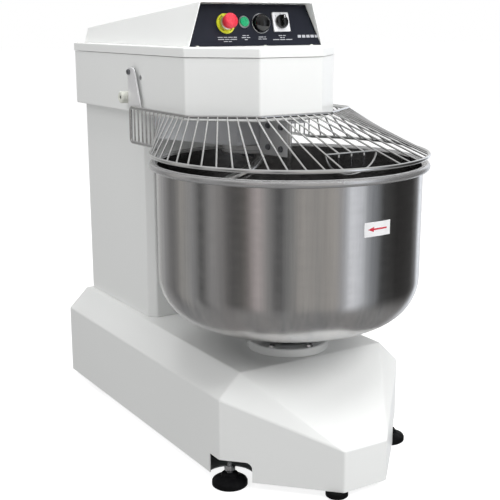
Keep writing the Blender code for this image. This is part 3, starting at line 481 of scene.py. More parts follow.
def add_tube(shape, path, radius, sides=12, closed=False, taper=None):
    """Adds a round bar along a path; its ends are flat, or follow taper(t)."""
    points = [Vector(point) for point in path]
    count = len(points)
    up = (points[1] - points[0]).orthogonal().normalized()
    rings = []
    for i, point in enumerate(points):
        before = (point - points[i - 1]) if i or closed else points[1] - points[0]
        after = (points[(i + 1) % count] - point) if i < count - 1 or closed else before
        before, after = before.normalized(), after.normalized()
        mitre = (before + after).normalized()
        up = (up - before * up.dot(before)).normalized()
        side = before.cross(up)
        reach = radius * (taper(i / (count - 1)) if taper else 1.0)
        ring = []
        for k in range(sides):
            angle = 2 * math.pi * k / sides
            offset = (up * math.cos(angle) + side * math.sin(angle)) * reach
            offset -= before * (offset.dot(mitre) / before.dot(mitre))
            ring.append(shape.verts.new(point + offset))
        rings.append(ring)
    for here, there in zip(rings, rings[1:]):
        bridge(shape, here, there)
    if closed:
        last, first = rings[-1], rings[0]
        turn = min(range(sides), key=lambda t: (last[0].co - first[t].co).length)
        bridge(shape, last, first[turn:] + first[:turn])
    else:
        shape.faces.new(rings[0][::-1])
        shape.faces.new(rings[-1])
    return shape


def add_prism(shape, outline, offset):
    """Adds a closed solid: an outline of points in space carried along offset."""
    low = [shape.verts.new(Vector(point)) for point in outline]
    high = [shape.verts.new(Vector(point) + Vector(offset)) for point in outline]
    shape.faces.new(low[::-1])
    shape.faces.new(high)
    count = len(low)
    for i in range(count):
        j = (i + 1) % count
        shape.faces.new((low[i], low[j], high[j], high[i]))
    return shape


def merge_into(shape, other):
    """Adds one bmesh to another."""
    mesh = bpy.data.meshes.new("merge")
    other.to_mesh(mesh)
    other.free()
    shape.from_mesh(mesh)
    bpy.data.meshes.remove(mesh)
    return shape


def outline_rounded(corners, radius, steps=6):
    """A closed flat outline with rounded corners."""
    return fillet_path(corners, radius, steps, closed=True)


def folded_shell(name, node, openings, material="enamel", fold=FOLD, wall=SHEET,
                 extra=()):
    """A sheet casing: the hull of a CAD node's corners with rounded folds, open towards each of openings."""
    shape = bmesh.new()
    for point in [*cad_points(node), *extra]:
        shape.verts.new(point)
    bmesh.ops.convex_hull(shape, input=shape.verts)
    bmesh.ops.remove_doubles(shape, verts=shape.verts, dist=0.02 * MM)
    bmesh.ops.dissolve_limit(shape, angle_limit=math.radians(1.0), verts=shape.verts, edges=shape.edges)
    shape.normal_update()
    gone = [face for face in shape.faces if any(face.normal.dot(way) > 0.995 for way in openings)]
    bmesh.ops.delete(shape, geom=gone, context="FACES")
    folds = [edge for edge in shape.edges if len(edge.link_faces) == 2]
    bmesh.ops.bevel(shape, geom=folds, offset=fold, offset_type="OFFSET", segments=4, profile=0.5,
                    affect="EDGES", clamp_overlap=True)
    piece = finished(name, shape, material, "machine", node, smooth=None)
    modify(piece, "SOLIDIFY", thickness=wall, offset=-1.0, use_even_offset=True)
    modify(piece, "BEVEL", width=0.5 * MM, segments=2, limit_method="ANGLE", angle_limit=math.radians(60),
           use_clamp_overlap=True)
    return apply_modifiers(piece)


def flat_faced(piece, angle=40.0):
    """Smooth folds between truly flat faces."""
    piece.data.shade_smooth()
    piece.data.set_sharp_from_angle(angle=math.radians(angle))
    modify(piece, "WEIGHTED_NORMAL", keep_sharp=True, weight=80)
    return piece


def hexagon(across):
    """Lobes that cut a round section down to a hexagon."""

    def six(angle, radius, _height):
        phase = (angle + math.pi / 6) % (math.pi / 3) - math.pi / 6
        return min(across / 2 / math.cos(phase), radius) / radius

    return six


def hex_bolt(shape, centre, axis, across, height, washer=0.0):
    """Adds a hexagon head with a chamfered top, on a thin washer if one is asked for."""
    axis = Vector(axis).normalized()
    base = Vector(centre)
    if washer:
        thin = 0.12 * across
        profile = [(0, 0), (washer, 0), (washer, thin), (0, thin)]
        merge_into(shape, turned(rounded(profile, 0.2 * MM, 2), base, axis, 32))
        base = base + axis * thin
    corner, bite, dish = across / math.sqrt(3), 0.13 * across, height - 0.3 * MM
    profile = [(0, 0), (corner, 0), (corner, height - bite), (corner * 0.93, height - 0.45 * bite),
               (across * 0.45, height), (across * 0.30, height), (across * 0.27, dish), (0, dish)]
    return merge_into(shape, turned(profile, base, axis, 48, hexagon(across)))


def hex_nut(shape, base, across, height, bore_radius):
    """Adds a nut with both faces chamfered and a plain bore."""
    corner, bite, flat, ease = across / math.sqrt(3), 0.10 * across, 0.47 * across, 0.8 * MM
    profile = [(bore_radius, 0), (flat, 0), (corner, bite), (corner, height - bite), (flat, height),
               (bore_radius + ease, height), (bore_radius, height - ease), (bore_radius, ease / 2)]
    return merge_into(shape, turned(profile, base, UP, 72, hexagon(across)))


def cross_screw(shape, centre, axis, radius, height):
    """Adds a pan head with a dimple in its crown."""
    dome = [(radius * x, height * y) for x, y in arc((0, 0), 1.0, 0, 60, 4)]
    profile = [(0, -0.4 * MM), (radius, -0.4 * MM), *dome, (radius * 0.30, height * 0.95), (0, height * 0.62)]
    return merge_into(shape, turned(profile, centre, axis, 28))


# ------------------------ base


NOTCH_TOP, NOTCH_BACK, NOTCH_FRONT = 42.5 * MM, 38 * MM, 69 * MM  # the foot cut-out, from its corner
NOTCH_CORNER, NOTCH_DEPTH = 14 * MM, 13 * MM
PAST = 30 * MM  # how far a cutter reaches past the sheet


def base_casing():
    """The folded base with a foot cut-out at each front corner and a round hole under the bowl's collar."""
    points = cad_points("base_casing")
    low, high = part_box("base_casing")
    corner_y = min(p.y for p in points if abs(p.x - low.x) < 0.1 * MM)
    nose = max(p.x for p in points if p.y < low.y + 1 * MM)
    corners = [Vector((x, corner_y, low.z)) for x in (low.x, high.x)]
    piece = folded_shell("base_shell", "base_casing", (-UP,), extra=corners)
    for sign in (-1, 1):
        carve(piece, notch_shape(sign, corner_y, low, nose))
    reach = size_of("bowl_collar").x / 2 - 12 * MM
    carve(piece, bore(BOWL_AXIS + UP * high.z, UP, reach, PAST, 48))
    flat_faced(piece)


def notch_shape(sign, corner_y, low, nose):
    """A cutter that opens the corner round one levelling foot, through the slanted face and the side."""
    side = low.x if sign < 0 else -low.x
    slope = Vector((sign * (nose - abs(side)), low.y - corner_y, 0)).normalized()
    outward = Vector((slope.y, -slope.x, 0)) * sign
    corner = Vector((side, corner_y, 0))
    bottom, top = low.z - 20 * MM, low.z + NOTCH_TOP
    curve = arc((NOTCH_FRONT - NOTCH_CORNER, top - NOTCH_CORNER), NOTCH_CORNER, 90, 0, 6)
    face = [(0, bottom), (0, top), *curve, (NOTCH_FRONT, bottom)]
    front = [corner + slope * along + outward * PAST + UP * z for along, z in face]
    slanted = add_prism(bmesh.new(), front, -outward * (NOTCH_DEPTH + PAST))
    x0, x1 = sorted((side + sign * PAST, side - sign * NOTCH_DEPTH))
    y0, y1, z0 = corner_y - 20 * MM, corner_y + NOTCH_BACK, bottom - 1 * MM
    outline = [(x0, y0, z0), (x1, y0, z0), (x1, y1, z0), (x0, y1, z0)]
    return united(slanted, add_prism(bmesh.new(), outline, UP * (top - z0)))


def column_and_head():
    flat_faced(folded_shell("column_shell", "column_casing", (BACK, UP, -UP)))
    head = folded_shell("head_shell", "head_casing", (UP,))
    low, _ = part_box("head_casing")
    for node, inset in (("spiral_bearing_housing", 22 * MM), ("spiral_motor", 28 * MM)):
        place = centre_of(node)
        place.z = low.z
        carve(head, bore(place, UP, size_of(node).x / 2 - inset, 10 * MM, 48))
    flat_faced(head)
    flat_faced(folded_shell("lid_shell", "head_lid", (-UP,)))
    flat_faced(folded_shell("hood_shell", "control_hood", (-UP, -BACK), fold=2.6 * MM))


def rear_cover():
    """The back sheet keeps its slots; a pressed louvre stands over each one, with screws round the edge."""
    low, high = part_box("rear_cover")
    louvres = bmesh.new()
    face = high.y
    inner = [p for p in cad_points("rear_cover") if low.z + 30 * MM < p.z < high.z - 30 * MM]
    slots = sorted({round(p.z, 4) for p in inner})
    half = max(abs(p.x) for p in inner) + 4 * MM
    for bottom, top in zip(slots[::2], slots[1::2]):
        profile = [(-0.2, top + 2.5 * MM), (0.3, top + 3 * MM), (0.95, bottom + 1 * MM),
                   (0.95, bottom - 1 * MM), (0.15, bottom - 1 * MM), (-0.2, top)]
        add_prism(louvres, [Vector((-half, face + out * MM, z)) for out, z in profile], RIGHT * 2 * half)
    finished("cover_louvres", louvres, "enamel", "machine")
    screws = bmesh.new()
    rows = 4
    for x in (low.x + 9 * MM, high.x - 9 * MM):
        for row in range(rows):
            z = low.z + 14 * MM + (high.z - low.z - 28 * MM) * row / (rows - 1)
            cross_screw(screws, Vector((x, face, z)), BACK, 4.2 * MM, 1.0 * MM)
    finished("cover_screws", screws, "zinc", "machine")


def levelling_feet():
    """Moulded pad with grip lobes, a threaded spindle and a chamfered lock nut."""

    def lobes(angle, _radius, height):
        fade = max(0.0, min(1.0, (height - 12 * MM) / (6 * MM)))
        return 1.0 - 0.07 * fade * (0.5 + 0.5 * math.cos(10 * angle))

    for side in ("left", "right"):
        body = f"{side}_foot"
        low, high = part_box(f"levelling_{side}_pad")
        centre = ((low + high) / 2).xy.to_3d()
        radius, top = (high.x - low.x) / 2, high.z
        profile = [(0, low.z), (radius * 0.92, low.z), (radius, 2.4 * MM), (radius, 9.5 * MM),
                   (radius * 0.96, 12.5 * MM), (radius * 0.85, 15.2 * MM), (radius * 0.66, 17.6 * MM),
                   (radius * 0.52, 19.2 * MM), (radius * 0.48, 21 * MM), (radius * 0.47, top - 2.5 * MM),
                   (radius * 0.42, top), (7 * MM, top), (6.6 * MM, top - 1.5 * MM), (6.6 * MM, top - 4 * MM),
                   (0, top - 4 * MM)]
        pad = turned(rounded(profile, 1.6 * MM, 3), centre, UP, 90, lobes)
        finished(f"{side}_foot_pad", pad, "rubber", body, f"levelling_{side}_pad")
        spindle(side, body, centre)
        node = f"levelling_{side}_nut"
        extent = size_of(node)
        nut = hex_nut(bmesh.new(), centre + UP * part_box(node)[0].z, extent.y, extent.z, 6.3 * MM)
        finished(f"{side}_foot_nut", nut, "zinc", body, node, smooth=25)


def spindle(side, body, centre):
    """A spindle with a real screw thread on its whole length."""
    node = f"levelling_{side}_spindle"
    low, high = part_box(node)
    pitch, depth, radius, around = 1.75 * MM, 0.95 * MM, (high.x - low.x) / 2, 24
    shape = bmesh.new()
    length = high.z - low.z
    levels = int(length / pitch * 6)
    rings = []
    for i in range(levels + 1):
        rise = length * i / levels
        ring = []
        for k in range(around):
            angle = 2 * math.pi * k / around
            reach = radius - depth * abs(2 * ((rise / pitch - k / around) % 1.0) - 1)
            place = Vector((reach * math.cos(angle), reach * math.sin(angle), low.z + rise))
            ring.append(shape.verts.new(centre + place))
        rings.append(ring)
    for here, there in zip(rings, rings[1:]):
        bridge(shape, here, there)
    shape.faces.new(rings[0][::-1])
    shape.faces.new(rings[-1])
    finished(f"{side}_foot_spindle", shape, "zinc", body, node, smooth=50)


def nose_foot():
    low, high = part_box("nose_foot")
    centre = ((low + high) / 2).xy.to_3d()
    radius = (high.x - low.x) / 2
    profile = [(0, low.z), (radius * 0.62, low.z), (radius * 0.88, low.z + 1.2 * MM),
               (radius, low.z + 3.5 * MM), (radius, high.z - 3 * MM), (radius * 0.9, high.z - 0.8 * MM),
               (radius * 0.4, high.z), (0, high.z)]
    foot = turned(rounded(profile, 2.2 * MM, 4), centre, UP, 64)
    finished("nose_foot_pad", foot, "rubber", "machine", "nose_foot")


def rear_wheels():
    """Solid rubber tread on a dished steel centre with an axle nut each side."""
    for side in ("left", "right"):
        node = f"rear_{side}_wheel"
        centre, extent = centre_of(node), size_of(node)
        radius, half = extent.z / 2, extent.x / 2
        tread = [(radius * 0.66, -half + 1 * MM), (radius * 0.86, -half), (radius, -half * 0.55),
                 (radius, half * 0.55), (radius * 0.86, half), (radius * 0.66, half - 1 * MM)]
        shape = turned(rounded([tread[0], *tread, tread[-1]], 2.5 * MM, 4), centre, RIGHT, 72)
        finished(f"{side}_wheel_tread", shape, "rubber", f"{side}_wheel", node)
        hub = [(6.4 * MM, -half), (12 * MM, -half), (13 * MM, -half * 0.4), (radius * 0.6, -half * 0.3),
               (radius * 0.655, -half + 2 * MM)]
        hub += [(reach, -along) for reach, along in reversed(hub)]
        finished(f"{side}_wheel_hub", turned(hub, centre, RIGHT, 56), "zinc", f"{side}_wheel")


# ------------------------ control panel


STEM = 10.7  # radius of the 22 mm devices' stems, in millimetres
PRINT_PITCH, PRINT_DROP, PRINT_STRETCH, PRINT_GAP = 4.4, 29, 1.35, 1.5
PRINT_ROWS = {  # lengths of the dashes in each row under a control
    "estop_ring": [(9, 7, 8, 6), (11, 8, 12), (7, 6)],
    "start_bezel": [(6, 4), (8, 6), (5,)],
    "jog_bezel": [(9, 3), (6, 8)],
    "switch_plate": [(7, 5), (4, 3), (12, 10, 12)],
}


def off_panel(place, right=0.0, up=0.0, out=0.0):
    """The point that lies this many millimetres from place: to the right, up the panel, and out of it."""
    return place + (RIGHT * right + PANEL_UP * up + PANEL_NORMAL * out) * MM


def add_plate(shape, middle, out, width, height, thick):
    """Adds a thin plate on the panel, height long towards out; its sizes are in millimetres."""
    side, up = PANEL_NORMAL.cross(out) * width * MM / 2, out * height * MM / 2
    outline = [middle - side - up, middle + side - up, middle + side + up, middle - side + up]
    add_prism(shape, outline, PANEL_NORMAL * thick * MM)


def towards(angle):
    """The direction on the panel that lies this many degrees from its right."""
    return RIGHT * math.cos(math.radians(angle)) + PANEL_UP * math.sin(math.radians(angle))


def panel_turned(profile, place, sides, ease=0.0, steps=4, lobes=None):
    """Turns a profile in millimetres about the panel's normal, with its corners eased if asked for."""
    profile = in_mm(profile)
    if ease:
        profile = rounded(profile, ease * MM, steps)
    return turned(profile, place, PANEL_NORMAL, sides, lobes)


def control_panel():
    points = cad_points("control_panel")
    corners = [Vector(max(points, key=lambda p: p.x * sx + p.z * sz * 3 + PANEL_NORMAL.dot(p) * 4))
               for sx, sz in ((-1, -1), (1, -1), (1, 1), (-1, 1))]
    shape = add_prism(bmesh.new(), corners, -PANEL_NORMAL * 2.2 * MM)
    panel = finished("panel_plate", shape, "panel", "machine", "control_panel", smooth=None)
    for node in PRINT_ROWS:
        carve(panel, bore(on_panel(node), PANEL_NORMAL, (STEM + 0.5) * MM, 10 * MM, 40))
    soften(panel, 0.6 * MM, 2)
    panel_print()
    lid_screws()


def panel_print():
    """Rows of plain dashes under each control, and five larger ones in the corner, in place of wording."""
    shape = bmesh.new()
    for node, rows in PRINT_ROWS.items():
        start = on_panel(node)
        for row, words in enumerate(rows):
            x = -(sum(words) + (len(words) - 1) * PRINT_GAP) / 2
            for word in words:
                middle = (x + word / 2) * PRINT_STRETCH
                place = off_panel(start, middle, -PRINT_DROP - row * PRINT_PITCH, 0.02)
                add_plate(shape, place, PANEL_UP, word * PRINT_STRETCH, 1.6, 0.06)
                x += word + PRINT_GAP
    for step in range(5):
        place = off_panel(on_panel("switch_plate"), 45 + step * 11.5, -31, 0.02)
        add_plate(shape, place, PANEL_UP, 8.5, 6.0, 0.06)
    finished("panel_marks", shape, "print", "machine", smooth=None)


def lid_screws():
    """Small white pan heads along the panel's foot and near the lid's corners."""
    shape = bmesh.new()
    lid_low, lid_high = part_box("head_lid")
    panel_low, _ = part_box("control_panel")
    places = [(share * abs(panel_low.x), panel_low.y - 4.5 * MM) for share in (-0.90, 0.10, 0.83)]
    places += [(sign * (lid_high.x - 8 * MM), y) for sign in (-1, 1) for y in
               (lid_low.y + 124 * MM, lid_high.y - 14 * MM)]
    for x, y in places:
        cross_screw(shape, Vector((x, y, lid_high.z)), UP, 4.0 * MM, 2.0 * MM)
    finished("lid_screws", shape, "nylon", "machine")


def emergency_stop():
    place = on_panel("estop_ring")
    outer = size_of("estop_ring").x / 2 / MM
    ring = [(STEM + 0.5, 0.3), (outer, 0.3), (outer, 2.4), (outer - 1.2, 3.3), (STEM + 3.5, 3.3),
            (STEM + 0.5, 2.6)]
    finished("estop_disc", panel_turned(ring, place, 96), "yellow", "machine", "estop_ring")
    marks = bmesh.new()
    for quarter in range(4):
        for step in range(-2, 3):
            out = towards(45 + 90 * quarter + 9 * step)
            add_plate(marks, off_panel(place, out=3.32) + out * (outer - 4.2) * MM, out, 1.8, 2.2, 0.06)
    finished("estop_marks", marks, "black_matt", "machine", smooth=None)

    def knurl(angle, radius, height):
        deep = 0.05 if radius > 13 * MM and height < 10 * MM else 0.0
        return 1.0 - deep * (0.5 + 0.5 * math.cos(24 * angle))

    collar = [(STEM + 0.5, 3.4), (14.6, 3.4), (14.6, 8.6), (13.6, 9.6), (STEM + 0.5, 9.6)]
    shape = panel_turned(collar, place, 144, lobes=knurl)
    finished("estop_collar", shape, "aluminium", "machine")
    profile = [(0, -20), (STEM, -20), (STEM, 14.4), (13.6, 14.8), (15.6, 16.6), (16, 19), (16, 25),
               (15, 27.6), (12.6, 29.3), (8, 29.9), (0, 30)]
    button = panel_turned(profile, place, 96, 1.6)
    finished("estop_mushroom", button, "red", "estop", "estop_button", smooth=50)


def start_button():
    place = on_panel("start_bezel")
    outer = size_of("start_bezel").x / 2 / MM
    rim = [(STEM + 0.4, 0.3), (outer, 0.3), (outer, 1.6), (outer - 0.9, 2.9), (STEM + 0.4, 2.9)]
    finished("start_rim", panel_turned(rim, place, 72), "aluminium", "machine", "start_bezel")
    profile = [(0, -18), (STEM, -18), (STEM, 4.4), (STEM - 1.1, 5.5), (STEM - 3, 5.3), (0, 5)]
    cap = panel_turned(profile, place, 72, 0.7, 3)
    finished("start_cap", cap, "green", "start", "start_button", smooth=50)


def jog_button():
    place = on_panel("jog_bezel")
    outer = size_of("jog_bezel").x / 2 / MM
    rim = [(STEM + 0.4, 0.3), (outer, 0.3), (outer, 1.4), (outer - 0.9, 2.9), (outer - 2.1, 2.9),
           (outer - 2.9, 1.8), (STEM + 0.4, 1.8)]
    finished("jog_rim", panel_turned(rim, place, 96), "chrome", "machine", "jog_bezel")
    cap, tall, foot = 19.4, 14.5, 6.5
    dome = [(cap * x, foot + tall * y) for x, y in arc((0, 0), 1.0, 0, 80, 10)]
    profile = [(0, -18), (STEM, -18), (STEM, foot - 1), (cap - 1, foot - 1), *dome, (0, foot + tall)]
    shape = panel_turned(profile, place, 96)
    finished("jog_dome", shape, "black", "jog", "jog_button", smooth=50)


def rectangle(place, right, up, out):
    """The corners of a rectangle with these half sizes that floats out over the panel, all in millimetres."""
    return [off_panel(place, right * a, up * b, out) for a, b in ((-1, -1), (1, -1), (1, 1), (-1, 1))]


def selector():
    """Square satin plate with rounded corners and eased edges; the knob carries a tapered grip set upright.
    """
    place = on_panel("switch_plate")
    half = size_of("switch_plate").x / 2 / MM
    outline = outline_rounded(rectangle(place, half, half, 0.3), 3 * MM)
    shape = add_prism(bmesh.new(), outline, PANEL_NORMAL * 4.4 * MM)
    plate = finished("selector_plate", shape, "silver", "machine", "switch_plate", smooth=None)
    carve(plate, bore(place, PANEL_NORMAL, (STEM + 0.4) * MM, 10 * MM, 40))
    soften(plate, 0.8 * MM, 3)
    marks = bmesh.new()
    for angle in (45, 90, 135):
        out = towards(angle)
        add_plate(marks, off_panel(place, out=4.71) + out * 17.9 * MM, out, 1.2, 3.0, 0.05)
    finished("selector_marks", marks, "black_matt", "machine", smooth=None)
    profile = [(0, -20), (STEM, -20), (STEM, 5.2), (15, 5.2), (15, 9.5), (13.6, 12.2), (0, 12.6)]
    knob = panel_turned(profile, place, 72, 1.2)
    merge_into(knob, grip_shape(place))
    finished("selector_knob", knob, "black", "selector", "switch_knob")
    pointer = bmesh.new()
    add_plate(pointer, off_panel(place, up=7.25, out=20.82), PANEL_UP, 1.2, 6.5, 0.05)
    finished("selector_pointer", pointer, "white_print", "selector", smooth=None)


def grip_shape(place):
    """The selector's grip: a rounded bar that narrows towards its eased top."""
    grip = bmesh.new()
    outlines = [outline_rounded(rectangle(place, *sizes), bend * MM)
                for sizes, bend in (((5.2, 14, 11.5), 3.6), ((3.4, 12.2, 20.8), 2.6))]
    foot_ring, tip_ring = ([grip.verts.new(point) for point in outline] for outline in outlines)
    bridge(grip, foot_ring, tip_ring)
    grip.faces.new(foot_ring[::-1])
    grip.faces.new(tip_ring)
    crest = [edge for edge in grip.edges if all(vert in tip_ring for vert in edge.verts)]
    bmesh.ops.bevel(grip, geom=crest, offset=0.9 * MM, segments=3, profile=0.5, affect="EDGES",
                    clamp_overlap=True)
    return grip


# ------------------------ bowl


BEAD = 7.5 * MM  # radius of the rolled rim
BEAD_LAP = 0.5 * MM  # how far the rim's roll reaches back over the wall


def bowl():
    """The spun bowl: deep straight wall, large corner radius, flat floor and a rolled bead at the rim."""
    low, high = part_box("bowl")
    outer = (high.x - low.x) / 2 - 2 * BEAD + 0.3 * MM
    wall, corner, rim = 2.5 * MM, 100 * MM, high.z - BEAD
    roll = (outer + BEAD - BEAD_LAP, rim)
    centre = (outer - corner, low.z + corner)
    profile = [(0, low.z)] + arc(centre, corner, -90, 0, 22)
    profile += arc(roll, BEAD, -158, 152, 22)
    inner = outer - wall
    profile += [(inner, rim + 1.5 * MM)] + arc(centre, corner - wall, 0, -90, 22) + [(0, low.z + wall)]
    shape = turned(profile, BOWL_AXIS, UP, 192)
    shell = finished("bowl_shell", shape, "bowl", "bowl_unit", "bowl", smooth=40)
    shell.data.materials.append(MATERIALS["bowl_painted_shade_inside"])
    # Faces on the inner wall and the inner floor take the darker copy, a painted shade.
    for face in shell.data.polygons:
        outward = face.normal.dot((face.center - BOWL_AXIS).xy.to_3d())
        face.material_index = int(face.center.z < rim and (outward < 0 or face.normal.z > 0.9))
    band = arc(roll, BEAD + 0.12 * MM, -150, 150, 22)
    inside = arc(roll, BEAD - 0.3 * MM, 150, -150, 22)
    roll_shape = turned(band + inside, BOWL_AXIS, UP, 192)
    finished("bowl_bead", roll_shape, "rim_steel", "bowl_unit", smooth=40)
    direction_label(outer, low.z)
    bowl_base_plate()


def bowl_base_plate():
    low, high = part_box("bowl_plate")
    reach, ease = (high.x - low.x) / 2, 2 * MM
    profile = [(0, low.z), (reach - ease, low.z), (reach, low.z + ease), (reach, high.z), (0, high.z)]
    plate = turned(rounded(profile, 1 * MM, 3), BOWL_AXIS, UP, 128)
    finished("bowl_base_plate", plate, "base_steel", "bowl_unit", "bowl_plate")


def direction_label(radius, floor):
    """A white sticker with a plain red arrow, curved with the bowl's wall."""
    middle, height, steps = -86.6, floor + 237 * MM, 10

    def patch(shape, start, length, half, lift):
        """Adds a thin curved sheet; half gives its half height at a share of its length."""
        rows = []
        for i in range(steps + 1):
            angle = math.radians(middle) + (start + length * i / steps) / radius
            out = Vector((math.cos(angle), math.sin(angle), 0))
            tall, base = half(i / steps), 0.02 * MM
            rows.append([shape.verts.new(BOWL_AXIS + out * (radius + depth) + UP * (height + z))
                         for z, depth in ((-tall, base), (tall, base), (tall, lift), (-tall, lift))])
        for here, there in zip(rows, rows[1:]):
            bridge(shape, here, there)
        shape.faces.new(rows[0])
        shape.faces.new(rows[-1][::-1])
        return shape

    sticker = patch(bmesh.new(), -32.5 * MM, 65 * MM, lambda share: 14 * MM, 0.14 * MM)
    finished("direction_sticker", sticker, "white_print", "bowl_unit")
    arrow = patch(bmesh.new(), -10 * MM, 33 * MM, lambda share: 1.6 * MM, 0.22 * MM)
    patch(arrow, -24 * MM, 14 * MM, lambda share: (0.15 + 4.8 * share) * MM, 0.22 * MM)
    finished("direction_arrow", arrow, "red_print", "bowl_unit")


def bowl_collar():
    """The enamelled bearing housing under the bowl, and the six bolts that hold it."""
    low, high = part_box("bowl_collar")
    outer = (high.x - low.x) / 2
    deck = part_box("base_casing")[1].z + 0.35 * MM
    inner, spigot, mouth, ease, lip = 55.4 * MM, 72 * MM, 34 * MM, 2.2 * MM, high.z - 7 * MM
    profile = [(inner, low.z), (spigot, low.z), (spigot, deck), (outer, deck), (outer, high.z - ease),
               (outer - ease, high.z), (mouth, high.z), (mouth, lip), (inner, lip)]
    shape = turned(profile, BOWL_AXIS, UP, 128)
    piece = finished("collar_ring", shape, "enamel", "machine", "bowl_collar")
    soften(piece, 0.9 * MM, 3, 40)
    bolts = bmesh.new()
    for i in range(6):
        angle = math.radians(-89 + 60 * i)
        place = BOWL_AXIS + Vector((math.cos(angle), math.sin(angle), 0)) * (outer - 8.5 * MM) + UP * high.z
        hex_bolt(bolts, place, UP, 13 * MM, 5.6 * MM)
    finished("collar_bolts", bolts, "chrome", "machine", smooth=30)


# ------------------------ spiral and breaker


def spiral():
    """A polished bar that drops from the flange and winds out into a helix, with a rounded lower end."""
    low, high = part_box("spiral_hook")
    bar, drop, coil, flange, top = 13 * MM, 34 * MM, 86 * MM, 56 * MM, high.z
    under = top - 18.6 * MM
    upper, bottom = under + 2 * MM, low.z + bar - 0.4 * MM
    tuck, tuck_height = 26 * MM, 42 * MM
    start, turns, lead, steps = math.radians(285), 1.3, 0.1, 220
    path = []
    for i in range(steps + 1):
        t = i / steps
        angle = start - 2 * math.pi * turns * (t - lead * (1 - math.exp(-t / lead))) / (1 - lead)
        fall = t * t * (3 - 2 * t) * 0.45 + t * 0.55
        height = upper - (upper - bottom) * fall
        out = min(t / 0.3, 1.0)
        spread = drop + (coil - drop) * out * out * (3 - 2 * out)
        pinch = max(0.0, (bottom + tuck_height - height) / tuck_height)
        radius = spread - tuck * pinch * pinch
        path.append(SPIRAL_AXIS + Vector((radius * math.cos(angle), radius * math.sin(angle), height)))

    def end(t):
        last = max(0.0, (t - 0.985) / 0.015)
        return max(0.12, math.sqrt(max(0.0, 1 - last * last)))

    shape = add_tube(bmesh.new(), path, bar, 28, taper=end)
    finished("spiral_bar", shape, "spiral_steel", "spiral_unit", "spiral_hook", smooth=40)
    profile = [(0, under), (flange - 3 * MM, under), (flange, under + 3 * MM), (flange, top - 1 * MM),
               (flange - 1 * MM, top), (0, top)]
    disc = turned(rounded(profile, 1.2 * MM, 3), SPIRAL_AXIS, UP, 96)
    finished("spiral_flange", disc, "flange_steel", "spiral_unit", smooth=40)
    nut = hex_bolt(bmesh.new(), SPIRAL_AXIS + UP * under, -UP, 24 * MM, 9 * MM, 18 * MM)
    finished("spiral_nut", nut, "dark_bolt", "spiral_unit", smooth=30)


def underhead_cover():
    flat_faced(folded_shell("cover_under_head", "underhead_cover", (BACK, UP, -UP), "sheet_steel",
                            2.5 * MM, 1.5 * MM))


def breaker():
    """The breaker's plate with eased edges, its round rod, and four bolts with washers."""
    low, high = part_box("breaker_bar")
    points = cad_points("breaker_bar")
    rod_y = low.y + 4.7 * MM
    plate = [p for p in points if abs(p.x - high.x) < 0.05 * MM]
    bottom = min(p.z for p in plate)
    slope = min(p.z for p in plate if p.y < rod_y + 2 * MM)
    outline = [(rod_y, slope), (high.y, bottom), (high.y, high.z), (rod_y, high.z)]
    corners = [Vector((low.x, y, z)) for y, z in outline]
    shape = add_prism(bmesh.new(), outline_rounded(corners, 3 * MM), (high.x - low.x, 0, 0))
    soften(finished("breaker_plate", shape, "plate_steel", "machine", "breaker_bar",
                    smooth=None), 0.9 * MM, 3)
    radius = 4.8 * MM
    profile = [(0, low.z), (radius * 0.6, low.z + 0.4 * MM), (radius, low.z + 2.5 * MM), (radius, high.z),
               (0, high.z)]
    finished("breaker_rod", turned(profile, BACK * rod_y, UP, 40), "bright_wire", "machine")
    for number in range(1, 5):
        node = f"breaker_bolt_{number}"
        place = centre_of(node)
        place.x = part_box(node)[1].x
        bolt = hex_bolt(bmesh.new(), place, (-1, 0, 0), 10 * MM, 4.6 * MM, 6.6 * MM)
        finished(f"breaker_screw_{number}", bolt, "dark_bolt", "machine", node, smooth=30)
    near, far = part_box("breaker_bracket")
    thick = 8 * MM
    profile = [(near.x, near.z), (near.x + thick, near.z), (near.x + thick, far.z - thick),
               (far.x, far.z - thick), (far.x, far.z), (near.x, far.z)]
    shape = add_prism(bmesh.new(), [Vector((x, near.y, z)) for x, z in profile], (0, far.y - near.y, 0))
    soften(finished("breaker_angle", shape, "plate_steel", "machine", "breaker_bracket",
                    smooth=None), 0.8 * MM, 2)


# ------------------------ guard


WIRE_PITCH, STRAIGHT_WIRES = 19.7 * MM, 6
FEED_STEPS = 2  # the feed opening reaches this many wires to each side of the middle one
FEED_BAR, FEED_DROP = 0.73, 42 * MM  # the cross bar's place down those wires, and the hoop's depth
ROD, WIRE_RADIUS, HANGER_RADIUS = 3.75 * MM, 1.85 * MM, 1.3 * MM


def guard_paths():
    """The guard's top and bottom rods as paths, read from the size of the CAD guard."""
    _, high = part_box("guard_grid")
    top_z = high.z - ROD
    ring_z = top_z - 77.5 * MM
    ring = high.x - ROD
    side, front_half = 203.5 * MM, 88 * MM
    rear = high.y - ROD
    bend, front = rear - 267 * MM, rear - 359 * MM
    half = [(-side, rear), (-side, bend), (-front_half, front)]
    top = [Vector((x, y, top_z)) for x, y in half] + [Vector((-x, y, top_z)) for x, y in reversed(half)]
    meet = math.degrees(math.acos(-side / ring))
    around = [BOWL_AXIS + Vector((x, y, ring_z)) for x, y in arc((0, 0), ring, meet, 540 - meet, 120)]
    bottom = [Vector((-side, rear, ring_z))] + around + [Vector((side, rear, ring_z))]
    return top, bottom


def along(path, distance):
    for start, end in zip(path, path[1:]):
        length = (end - start).length
        if distance <= length:
            return start.lerp(end, distance / length)
        distance -= length
    return path[-1].copy()


def path_length(path):
    return sum((b - a).length for a, b in zip(path, path[1:]))


